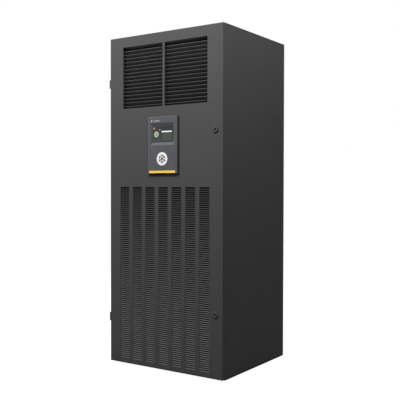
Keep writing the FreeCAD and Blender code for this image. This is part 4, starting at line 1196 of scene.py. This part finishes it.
@dataclass
class Carcass(SubAssembly):
    """Base, walls, posts and seal of the cabinet, with the screwed rear wall and its lined cut-out.

    Attributes:
        cutout: Left, right, lowest and highest edge of the service cut-out.
        edge: Distance of the wall's screws from its edges.
        rows: Screws along each upright edge.
        ends: Distances of the lowest and highest of them from the wall's ends, in edge distances.
        dimple: Radius of a screw's dimple at the surface.
        dimple_floor: Radius of its floor as a share of that.
        dimple_out: How far its cutter stands out as a share of the sheet.
        head: Radius and height of a screw's head as shares of the dimple's radius and the sheet.
        lining: Width of the rubber strip round the cut-out.
        lining_deep: Depth of that strip.
        lining_round: Rounding of its edges.
    """

    nodes = (
        "base_tray", "levelling_feet", "left_side_panel", "right_side_panel", "rear_panel", "top_panel",
        "corner_posts", "door_seal",
    )
    # The corner posts take the matt Slot.BLACK paint, partly as their own colour and partly as painted shade
    # for the gaps at the rear edges.
    own = {"corner_posts": FINISHES[Slot.BLACK]}
    cutout: tuple[float, float, float, float] = (-290 * MM, -40 * MM, 56 * MM, 195 * MM)
    edge: float = 19 * MM
    rows: int = 8
    ends: tuple[float, float] = (3.0, 2.0)
    dimple: float = 5.6 * MM
    dimple_floor: float = 0.5
    dimple_out: float = 0.25
    head: tuple[float, float] = (0.85, 0.9)
    lining: float = 2.4 * MM
    lining_deep: float = 5 * MM
    lining_round: float = 0.5 * MM

    def screw_spots(self) -> list[tuple[float, float]]:
        """Places of the rear wall's screws, seen from behind.

        Returns:
            Each one's place across and its height.
        """
        low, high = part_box("rear_panel")
        first = low.z + self.ends[0] * self.edge
        step = (high.z - low.z - sum(self.ends) * self.edge) / (self.rows - 1)
        uprights = [
            (side * (high.x - self.edge), first + step * k) for side in (-1, 1) for k in range(self.rows)
        ]
        top = [(across * (high.x - self.edge) / 2, high.z - self.edge) for across in (-1, 0, 1)]
        return uprights + top

    def rear_wall(self) -> None:
        """Models the rear wall with its cut-out and a pressed dimple under each screw."""
        low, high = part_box("rear_panel")
        left, right, bottom, top = self.cutout
        wall = block("rear_wall", low, high)
        carve(wall, block("cutout", (left, low.y - self.edge, bottom), (right, high.y + self.edge, top)))
        sheet = high.y - low.y
        cone = drum("dimple", (0, 0, 0), self.dimple, 2 * sheet, Toward.FRONT)
        with editing(cone):
            pick_faces(cone, facing(Toward.FRONT))
            narrow = (self.dimple_floor, 1, self.dimple_floor)
            bpy.ops.transform.resize(value=narrow, center_override=(0, 0, 0))
        spots = [placed(x, high.y + self.dimple_out * sheet, z) for x, z in self.screw_spots()]
        carve(wall, copies("dimples", cone, spots))
        seat(wall, Body.CABINET, Slot.CABINET, stands_for=["rear_panel"])
        seats = [placed(x, high.y - sheet, z, Toward.REAR) for x, z in self.screw_spots()]
        radius, height = self.head
        screw = Fastener(radius * self.dimple, height * sheet)
        screw.set_out("rear_wall_screws", seats, Body.CABINET, Slot.HINGE, SCREW_STEEL)

    def cutout_lining(self) -> None:
        """Models the rubber strip that lines the service cut-out."""
        left, right, bottom, top = self.cutout
        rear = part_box("rear_panel")[1].y
        strip = block("cutout_lining", (left, rear - self.lining_deep, bottom), (right, rear, top))
        with editing(strip):
            pick_faces(strip, looks_along)
            bpy.ops.mesh.inset(thickness=self.lining)
            bpy.ops.mesh.bridge_edge_loops()
        soften(strip, self.lining_round)
        seat(strip, Body.CABINET, Slot.RUBBER)

    def build(self) -> None:
        """Models the rear wall and the lining of its cut-out."""
        self.rear_wall()
        self.cutout_lining()


@dataclass
class DoorLeaf(SubAssembly):
    """Door with its return slats, hinges and the screws and rivets that hold them.

    Attributes:
        rivet_edge: Distance of the slat frame's rivets from its outer edge.
        rivet_step: Greatest distance between those rivets.
        flange: Thickness of the slat frame's flange.
        leaf: Thickness of a hinge leaf.
        leaf_half: Half its height.
        hinge_screws: Places of a hinge's screws from the leaf's rear edge and middle.
    """

    nodes = (
        "door_panel", "return_grille", "cabinet_hinge_leaves", "hinge_pins", "door_hinge_leaves",
    )
    own = {"return_grille": SLAT_COAT}
    rivet_edge: float = 4.2 * MM
    rivet_step: float = 95 * MM
    flange: float = 1.5 * MM
    leaf: float = 1.6 * MM
    leaf_half: float = 21.5 * MM
    hinge_screws: tuple[tuple[float, float], ...] = (
        (10 * MM, 12 * MM), (10 * MM, -12 * MM), (32 * MM, 0.0),
    )

    def ring(self, low: Vector, high: Vector) -> list[tuple[float, float]]:
        """Evenly spaced spots round a rectangle.

        Args:
            low: Its lowest corner.
            high: Its highest corner.

        Returns:
            The spots, seen from the front.
        """
        wide, tall = high.x - low.x, high.z - low.z
        columns, rows = math.ceil(wide / self.rivet_step), math.ceil(tall / self.rivet_step)
        level = [(low.x + wide * k / columns, z) for z in (low.z, high.z) for k in range(columns + 1)]
        upright = [(x, low.z + tall * k / rows) for x in (low.x, high.x) for k in range(1, rows)]
        return level + upright

    def build(self) -> None:
        """Sets out the rivets of the slat frame and the screws of the hinges."""
        low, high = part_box("return_grille")
        inset = Vector((self.rivet_edge, 0, self.rivet_edge))
        rear = low.y + self.flange
        spots = [placed(x, rear, z, Toward.REAR) for x, z in self.ring(low + inset, high - inset)]
        BLIND_RIVET.set_out("slat_frame_rivets", spots, Body.DOOR, Slot.CABINET, SCREW_STEEL)
        low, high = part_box("cabinet_hinge_leaves")
        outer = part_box("left_side_panel")[0].x - self.leaf
        middles = (low.z + self.leaf_half, high.z - self.leaf_half)
        screws = [
            placed(outer, high.y - back, middle + up, Toward.LEFT)
            for middle in middles for back, up in self.hinge_screws
        ]
        SMALL_SCREW.set_out("hinge_screws", screws, Body.CABINET, Slot.HINGE, SCREW_STEEL)


@dataclass
class SupplyLouvre(SubAssembly):
    """Louvre at the top of the door, its frame, link bar, head strip and the mullion's screws.

    Attributes:
        screw_levels: Heights of the mullion's screws.
        pivot_back: Depth of the blades' pins behind the door's face.
        next_pin: Height at which one more blade would turn.
        strip_levels: Lowest and highest edge of the head strip.
        strip_half: Half its length.
        strip_thick: Its thickness.
        strip_slope: Its slope, which is that of the blades at rest.
        strip_round: Rounding of its edges.
    """

    nodes = ("supply_grille_frame", "louvre_link", *[f"louvre_blade_{k:02d}" for k in range(1, 17)])
    screw_levels: tuple[float, float] = (1413 * MM, 1560 * MM)
    pivot_back: float = 18.5 * MM
    next_pin: float = 1638.36 * MM
    strip_levels: tuple[float, float] = (1631.5 * MM, 1653.5 * MM)
    strip_half: float = 267.5 * MM
    strip_thick: float = 1.2 * MM
    strip_slope: float = math.radians(45)
    strip_round: float = 0.4 * MM

    def head_strip(self) -> None:
        """Makes the fixed strip that closes the gap over the top blade."""
        low, high = self.strip_levels
        level = (low + high) / 2
        half = (high - low) / 2 / math.cos(self.strip_slope)
        thick = self.strip_thick / 2
        strip = block("head_strip", (-self.strip_half, -thick, -half), (self.strip_half, thick, half))
        soften(strip, self.strip_round)
        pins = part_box("door_panel")[0].y + self.pivot_back
        depth = pins - (level - self.next_pin) * math.tan(self.strip_slope)
        place = Matrix.Translation((0, depth, level)) @ Matrix.Rotation(self.strip_slope, 4, "X")
        seat(copies("louvre_head_strip", strip, [place]), Body.DOOR, Slot.BLADE)

    def build(self) -> None:
        """Makes the head strip and sets the two screws into the mullion."""
        self.head_strip()
        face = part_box("door_panel")[0].y
        places = [placed(0, face, level) for level in self.screw_levels]
        SMALL_SCREW.set_out("mullion_screws", places, Body.DOOR, Slot.HINGE, FINISHES[Slot.HINGE])


@dataclass
class DisplayUnit(SubAssembly):
    """Display housing with its screen, amber bar, round cooling sign and status lamp.

    Attributes:
        sign_level: Height of the sign's middle.
        sign_radius: Radius of the sign.
        plate: Thickness of the sign and of each lamp.
        inlay: Thickness of the crystal on the sign.
        lamp: Place of the round lamp from the display's middle and top.
        lamp_radius: Radius of that lamp.
        strip: Left and right end of the light strip.
        strip_half: Half the strip's height.
        rim: Height of the shell's upright rim.
        flank: Width of its sloping flanks.
        crown: Chamfer at its head.
        foot: Chamfer at its foot.
        lift: Height of its foot above the housing's own.
        recess: Half width, lowest and highest edge of the recess in the face.
        window: The same at the floor of the recess.
        recess_deep: Depth of the recess.
        boss_radius: Radius of the boss behind the door's skin.
        boss_bite: How far the boss reaches into the shell.
        boss_round: Rounding of its edges.
        sign_round: Rounding of the sign's edge as a share of its thickness.
        sign_rim: Width of the sign's raised rim as a share of its radius.
        sign_sunk: Depth of the sign's floor as a share of its thickness.
        arms: Number of the crystal's arms.
        arm: Half width and length of an arm as shares of the sign's radius.
        twig: Length of a twig and its place on the arm as shares of the arm's length.
        twig_lean: Angle between a twig and the arm.
        arm_round: Rounding of the crystal's edges as a share of its thickness.
        dome: Rounding of the round lamp as a share of its thickness.
        strip_ends: Rounding of the strip's ends as a share of half its height.
        strip_round: Rounding of the strip's edges as a share of its thickness.
    """

    nodes = ("display_housing", "touch_screen", "accent_bar")
    sign_level: float = 1066 * MM
    sign_radius: float = 33 * MM
    plate: float = 0.4 * MM
    inlay: float = 0.3 * MM
    lamp: tuple[float, float] = (-65 * MM, 22 * MM)
    lamp_radius: float = 4.6 * MM
    strip: tuple[float, float] = (-50 * MM, -16 * MM)
    strip_half: float = 1.9 * MM
    rim: float = 9 * MM
    flank: float = 11 * MM
    crown: float = 2.2 * MM
    foot: float = 2.5 * MM
    lift: float = 5 * MM
    recess: tuple[float, float, float] = (72.5 * MM, 1134 * MM, 1245 * MM)
    window: tuple[float, float, float] = (63.5 * MM, 1149.5 * MM, 1228.5 * MM)
    recess_deep: float = 7 * MM
    boss_radius: float = 15 * MM
    boss_bite: float = 1 * MM
    boss_round: float = 0.5 * MM
    sign_round: float = 0.5
    sign_rim: float = 0.05
    sign_sunk: float = 0.3
    arms: int = 6
    arm: tuple[float, float] = (0.055, 0.74)
    twig: tuple[float, float] = (0.42, 0.52)
    twig_lean: float = math.radians(52)
    arm_round: float = 0.25
    dome: float = 0.8
    strip_ends: float = 0.9
    strip_round: float = 0.3

    @property
    def face(self) -> float:
        """Place of the housing's front face."""
        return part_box("display_housing")[0].y

    def shell(self) -> None:
        """Models the moulded shell: upright rim, sloping flanks, chamfered ends, recess and rear boss."""
        low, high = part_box("display_housing")
        foot = low.z + self.lift
        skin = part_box("door_panel")[0].y
        shell = block("display_shell", (low.x, skin - self.rim, foot), (high.x, skin, high.z))
        with editing(shell):
            pick_faces(shell, facing(Toward.FRONT))
            push(self.face - skin + self.rim)
            bpy.ops.transform.resize(value=(1 - self.flank / high.x, 1, 1), center_override=(0, 0, 0))
            for level, chamfer in ((high.z, self.crown), (foot, self.foot)):
                ahead = foremost(shell, Toward.FRONT)
                pick_edges(shell, lambda edge: ahead(edge) and lies_at(edge, level))
                bpy.ops.mesh.bevel(offset=chamfer, segments=1)
        carve(shell, self.funnel())
        root = (0, skin - self.boss_bite, (low.z + high.z) / 2)
        boss = drum("boss", root, self.boss_radius, high.y - skin + self.boss_bite, Toward.REAR, 48)
        soften(boss, self.boss_round)
        with editing(shell):
            pick_edges(shell, lambda edge: True)
            bpy.ops.mesh.mark_sharp()
        seat(joined("display_shell", [shell, boss]), Body.DOOR, Slot.DISPLAY, stands_for=["display_housing"])

    def funnel(self) -> Piece:
        """Models the cutter of the recess, narrower at its floor.

        Returns:
            The cutter.
        """
        half, bottom, top = self.recess
        inner, sill, head = self.window
        floor = self.face + self.recess_deep
        cutter = block("funnel", (-half, self.face, bottom), (half, floor, top))
        with editing(cutter):
            pick_faces(cutter, facing(Toward.REAR))
            narrow = (inner / half, 1, (head - sill) / (top - bottom))
            bpy.ops.transform.resize(value=narrow, center_override=(0, floor, (bottom + top) / 2))
            bpy.ops.transform.translate(value=(0, 0, (sill + head - bottom - top) / 2))
            pick_faces(cutter, facing(Toward.FRONT))
            push(-self.recess_deep)
        return cutter

    def sign(self) -> None:
        """Models the round plate with a raised rim, and the six-armed crystal on it."""
        middle = (0, self.face, self.sign_level)
        plate = drum("cooling_sign", middle, self.sign_radius, self.plate, Toward.FRONT, 64)
        with editing(plate):
            pick_edges(plate, foremost(plate, Toward.FRONT))
            bpy.ops.mesh.bevel(offset=self.sign_round * self.plate, segments=2)
            pick_faces(plate, facing(Toward.FRONT))
            bpy.ops.mesh.inset(thickness=self.sign_rim * self.sign_radius)
            push(self.sign_sunk * self.plate)
        seat(plate, Body.DOOR, Slot.DISPLAY, WHITE_ENAMEL)
        seat(self.crystal(), Body.DOOR, Slot.DISPLAY, DARK_INLAY)

    def crystal(self) -> Piece:
        """Models one arm of the crystal with its two twigs, and turns copies of it about the middle.

        Returns:
            The crystal.
        """
        half, length = (share * self.sign_radius for share in self.arm)
        reach, fork = (share * length for share in self.twig)
        corner = (-half, -self.inlay, -half)
        parts = [block("arm", corner, (half, 0.0, length))]
        for side in (-1, 1):
            twig = block("twig", corner, (half, 0.0, reach))
            lean = Matrix.Rotation(side * self.twig_lean, 4, "Y")
            twig.data.transform(Matrix.Translation((0, 0, fork)) @ lean)
            parts.append(twig)
        arm = joined("arm", parts)
        soften(arm, self.arm_round * self.inlay)
        floor = self.face - (1 - self.sign_sunk) * self.plate
        middle = Matrix.Translation((0, floor, self.sign_level))
        turns = [
            middle @ Matrix.Rotation(math.radians(360 / self.arms * k), 4, "Y") for k in range(self.arms)
        ]
        return copies("cooling_crystal", arm, turns)

    def lamps(self) -> None:
        """Models the domed status lamp and the short light strip beside it."""
        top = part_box("display_housing")[1].z
        across, down = self.lamp
        level = top - down
        middle = (across, self.face, level)
        dome = drum("status_lamp", middle, self.lamp_radius, self.plate, Toward.FRONT, 32)
        with editing(dome):
            pick_edges(dome, foremost(dome, Toward.FRONT))
            bpy.ops.mesh.bevel(offset=self.dome * self.plate, segments=4)
        seat(dome, Body.DOOR, Slot.DISPLAY, LAMP_LENS)
        left, right = self.strip
        low = (left, self.face - self.plate, level - self.strip_half)
        strip = block("status_strip", low, (right, self.face, level + self.strip_half))
        with editing(strip):
            pick_edges(strip, runs_deep)
            bpy.ops.mesh.bevel(offset=self.strip_ends * self.strip_half, segments=5)
        soften(strip, self.strip_round * self.plate)
        seat(strip, Body.DOOR, Slot.DISPLAY, LAMP_LENS)

    def build(self) -> None:
        """Models the shell, the sign and the lamps."""
        self.shell()
        self.sign()
        self.lamps()


@dataclass
class LatchPair(SubAssembly):
    """Quarter-turn latches with the bolts that hold their cams.

    Attributes:
        housing_half: Half the height of a latch housing.
        bolt_radius: Radius of a bolt head's corners.
        bolt_height: Height of a bolt head.
        bolt_land: Width and height of the step on the head as shares of its radius and height.
        bolt_round: Rounding of its edges.
    """

    nodes = ("latch_housings", "upper_latch", "lower_latch")
    housing_half: float = 14 * MM
    bolt_radius: float = 6 * MM
    bolt_height: float = 2.6 * MM
    bolt_land: tuple[float, float] = (0.12, 0.08)
    bolt_round: float = 0.3 * MM

    def build(self) -> None:
        """Models a hexagon bolt on each cam."""
        low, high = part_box("latch_housings")
        inset, rise = self.bolt_land
        for name, level, body in (
            ("upper_cam_bolt", high.z - self.housing_half, Body.UPPER_LATCH),
            ("lower_cam_bolt", low.z + self.housing_half, Body.LOWER_LATCH),
        ):
            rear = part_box(body.value)[1].y
            middle = (low.x + high.x) / 2
            bolt = drum(name, (middle, rear, level), self.bolt_radius, self.bolt_height, Toward.REAR, 6)
            with editing(bolt):
                pick_faces(bolt, facing(Toward.REAR))
                bpy.ops.mesh.inset(thickness=inset * self.bolt_radius)
                push(rise * self.bolt_height)
            soften(bolt, self.bolt_round)
            seat(bolt, body, Slot.LATCH, SCREW_STEEL)


@dataclass
class AirFilter(SubAssembly):
    """Pleated filter in its board frame, with the pull tabs on its face.

    Attributes:
        tab_wide: Width of a pull tab.
        tab_out: How far a tab stands out.
        tape: Half the thickness of a tab's tape.
        tab_edge: Distance of a tab's middle from the frame's side.
        tab_share: Height of the tabs as a share of the frame's.
        loop: Length, thickness and width of a tab's loop as shares of the tab's own.
        tab_round: Rounding of a tab's edges.
    """

    nodes = ("air_filter_frame", "air_filter_media")
    tab_wide: float = 26 * MM
    tab_out: float = 9 * MM
    tape: float = 0.8 * MM
    tab_edge: float = 11 * MM
    tab_share: float = 0.72
    loop: tuple[float, float, float] = (0.2, 1.8, 0.94)
    tab_round: float = 0.5 * MM

    def build(self) -> None:
        """Models the tabs as short folded loops of tape."""
        low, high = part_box("air_filter_frame")
        half = self.tab_wide / 2
        length, thick, wide = self.loop
        tab = block("tab", (-self.tape, -self.tab_out, -half), (self.tape, 0, half))
        with editing(tab):
            pick_faces(tab, facing(Toward.FRONT))
            push(-length * self.tab_out)
            bpy.ops.transform.resize(value=(thick, 1, wide))
        soften(tab, self.tab_round, 3)
        level = low.z + self.tab_share * (high.z - low.z)
        places = [placed(x, low.y, level) for x in (low.x + self.tab_edge, high.x - self.tab_edge)]
        seat(copies("filter_tabs", tab, places), Body.CABINET, Slot.RUBBER)


@dataclass
class Refrigeration(SubAssembly):
    """Coil, drain pan, compressor and the refrigerant lines."""

    nodes = (
        "drain_pan", "coil_casing", "coil_fins", "coil_headers", "compressor", "compressor_mounts",
        "suction_line", "discharge_line", "liquid_line", "filter_drier", "expansion_valve",
    )


@dataclass
class BlowerSection(SubAssembly):
    """Fan deck, blower and supply plenum, with the screws of the plenum's rim.

    Attributes:
        edge: Distance of the screws from the rim's side edges.
        rows: Screws along each side.
        ends: Distance of the outer ones from the rim's ends, in edge distances.
    """

    nodes = ("fan_deck", "blower_housing", "supply_plenum", "blower_wheel", "motor_rotor", "motor_bracket")
    edge: float = 9 * MM
    rows: int = 4
    ends: float = 3.0

    def build(self) -> None:
        """Sets out the screws of the plenum's rim."""
        low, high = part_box("supply_plenum")
        first = low.z + self.ends * self.edge
        step = (high.z - low.z - 2 * self.ends * self.edge) / (self.rows - 1)
        places = [
            placed(side * (high.x - self.edge), low.y, first + step * k)
            for side in (-1, 1) for k in range(self.rows)
        ]
        SMALL_SCREW.set_out("plenum_screws", places, Body.CABINET, Slot.BLACK, SCREW_STEEL)


@dataclass
class ControlSection(SubAssembly):
    """Control box behind the door, with its cover's screws and the isolator's plate.

    Attributes:
        edge: Distance of the cover's screws from its edges.
        plate_half: Half the side of the isolator's plate.
        plate: Thickness of that plate.
        corner: Radius of its corners as a share of half its side.
        bore: Radius of the hole in it.
        plate_round: Rounding of its edges.
    """

    nodes = ("control_box", "control_box_cover", "switchgear", "isolator_knob")
    edge: float = 12 * MM
    plate_half: float = 34 * MM
    plate: float = 0.7 * MM
    corner: float = 0.18
    bore: float = 6 * MM
    plate_round: float = 0.2 * MM

    def build(self) -> None:
        """Models the plate and sets out the screws."""
        low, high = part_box("control_box_cover")
        inset = Vector((self.edge, 0, self.edge))
        near, far = low + inset, high - inset
        spots = [(x, z) for x in (near.x, 0.0, far.x) for z in (near.z, far.z)]
        spots += [(x, (near.z + far.z) / 2) for x in (near.x, far.x)]
        places = [placed(x, low.y, z) for x, z in spots]
        COVER_SCREW.set_out("cover_screws", places, Body.CABINET, Slot.BOX, SCREW_STEEL)
        knob_low, knob_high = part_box("isolator_knob")
        middle = (knob_low + knob_high) / 2
        half = self.plate_half
        plate = block(
            "isolator_plate", (middle.x - half, low.y - self.plate, middle.z - half),
            (middle.x + half, low.y, middle.z + half))
        with editing(plate):
            pick_edges(plate, runs_deep)
            bpy.ops.mesh.bevel(offset=self.corner * half, segments=6)
        carve(plate, drum("bore", (middle.x, low.y + half, middle.z), self.bore, 2 * half, Toward.FRONT))
        soften(plate, self.plate_round)
        seat(plate, Body.CABINET, Slot.KNOB, SIGNAL_YELLOW)


@dataclass(frozen=True)
class Lamp:
    """Square area lamp.

    Attributes:
        name: Name of the lamp.
        place: Where it hangs.
        target: What it points at.
        power: Power in watts.
        size: Side of the lamp in metres.
    """

    name: str
    place: Point
    target: Point
    power: float
    size: float

    def hang(self) -> None:
        """Adds the lamp to the scene."""
        light = bpy.data.lights.new(self.name, "AREA")
        light.energy = self.power
        light.size = self.size
        lamp = bpy.data.objects.new(self.name, light)
        lamp.location = self.place
        lamp.rotation_euler = (Vector(self.target) - Vector(self.place)).to_track_quat("-Z", "Y").to_euler()
        bpy.context.scene.collection.objects.link(lamp)


@dataclass
class Studio:
    """Pale floor, white surroundings, lamps and the camera.

    Attributes:
        eye: Place of the camera.
        yaw: Turn of the camera to the left.
        pitch: Tilt of the camera below level.
        roll: Turn of the camera about its line of sight.
        lens: Focal length in millimetres.
        film: Width of the camera's frame in millimetres.
        floor_half: Half the side of the floor.
        floor_tone: Lowest and highest share of light that the floor gives back.
        floor_clouds: Clouds of its tone to a metre.
        floor_rough: Its roughness.
        floor_glow: Share of white that the floor shows by itself near the unit and far away.
        floor_reach: Where the floor's glow starts to rise, and where it is full.
        ambient: Light that the surroundings give.
        lamps: Lamps of the studio.
    """

    eye: Point = (2.068, -3.0459, 0.928)
    yaw: float = math.radians(34.004)
    pitch: float = math.radians(1.115)
    roll: float = math.radians(-0.092)
    lens: float = 61.81
    film: float = 36.0
    floor_half: float = 20.0
    floor_tone: tuple[float, float] = (0.18, 0.22)
    floor_clouds: float = 3.0
    floor_rough: float = 0.9
    floor_glow: tuple[float, float] = (0.94, 1.0)
    floor_reach: tuple[float, float] = (1.2, 3.5)
    ambient: float = 0.01
    lamps: tuple[Lamp, ...] = (
        Lamp("far_key", (-2.4, -4.0, 3.9), (0.0, -0.3, 1.2), 70.0, 0.5),
        Lamp("near_key", (-0.9, -1.7, 3.0), (0.0, -0.3, 1.2), 52.0, 0.3),
        Lamp("right_box", (1.1, -1.3, 2.8), (0.1, -0.3, 1.2), 37.0, 0.8),
        Lamp("side_box", (1.25, 0.0, 2.3), (0.35, 0.0, 1.2), 4.5, 0.5),
        Lamp("rear_box", (0.1, 2.6, 2.7), (0.0, 0.3, 1.1), 60.0, 1.0),
        Lamp("left_box", (-2.6, 0.6, 2.7), (-0.35, 0.0, 1.1), 55.0, 1.0),
    )

    def seen(self, graph: Graph) -> Socket:
        """One for rays that come straight from the camera, a mirror or glass.

        Args:
            graph: Graph that takes the nodes.

        Returns:
            One or nought.
        """
        path = graph.add("ShaderNodeLightPath").outputs
        direct = graph.math("MAXIMUM", path["Is Camera Ray"], path["Is Glossy Ray"])
        return graph.math("MAXIMUM", direct, path["Is Transmission Ray"])

    def floor(self) -> None:
        """Lays a pale floor that keeps the unit's shadow and looks white to the camera."""
        bpy.ops.object.select_all(action="DESELECT")
        bpy.ops.mesh.primitive_plane_add(size=2 * self.floor_half)
        plane = started("floor")
        graph = Surface("pale_floor")
        dust = graph.spread(graph.noise(graph.place(), self.floor_clouds), WHOLE, self.floor_tone)
        away = graph.add("ShaderNodeVectorMath", {0: graph.place()}, operation="LENGTH").outputs["Value"]
        glow = graph.spread(away, self.floor_reach, self.floor_glow)
        graph.dress({
            "Base Color": graph.mix(dust, (0.0, 0.0, 0.0), (1.0, 1.0, 1.0)),
            "Roughness": self.floor_rough,
            "Specular IOR Level": 0.0,
            "Emission Color": (1.0, 1.0, 1.0, 1.0),
            "Emission Strength": graph.math("MULTIPLY", self.seen(graph), glow),
        })
        plane.data.materials.append(graph.material)

    def surroundings(self) -> None:
        """Makes the world white to the camera and in mirrors, and softly lit for everything else."""
        world = bpy.data.worlds.new("studio")
        bpy.context.scene.world = world
        world.use_nodes = True
        graph = Graph(world.node_tree)
        background = world.node_tree.nodes["Background"]
        background.inputs["Color"].default_value = (1.0, 1.0, 1.0, 1.0)
        strength = graph.spread(self.seen(graph), WHOLE, (self.ambient, 1.0))
        graph.feed(background.inputs["Strength"], strength)

    def camera(self) -> None:
        """Stands the camera at the viewing angle."""
        lens = bpy.data.cameras.new("camera")
        lens.lens = self.lens
        lens.sensor_width = self.film
        camera = bpy.data.objects.new("camera", lens)
        camera.location = self.eye
        camera.rotation_euler = (math.pi / 2 - self.pitch, self.roll, self.yaw)
        bpy.context.scene.collection.objects.link(camera)
        bpy.context.scene.camera = camera

    def set_up(self) -> None:
        """Builds the whole studio."""
        bpy.context.scene.view_settings.view_transform = "Standard"
        self.floor()
        self.surroundings()
        for lamp in self.lamps:
            lamp.hang()
        self.camera()


def main() -> None:
    """Builds and dresses the unit, group by group, and sets up the studio."""
    logging.basicConfig(level=logging.INFO, format="%(message)s")
    groups = (
        Carcass(), DoorLeaf(), SupplyLouvre(), DisplayUnit(), LatchPair(), AirFilter(), Refrigeration(),
        BlowerSection(), ControlSection(),
    )
    for group in groups:
        group.dress()
        group.build()
    Studio().set_up()


if __name__ == "__main__":
    main()
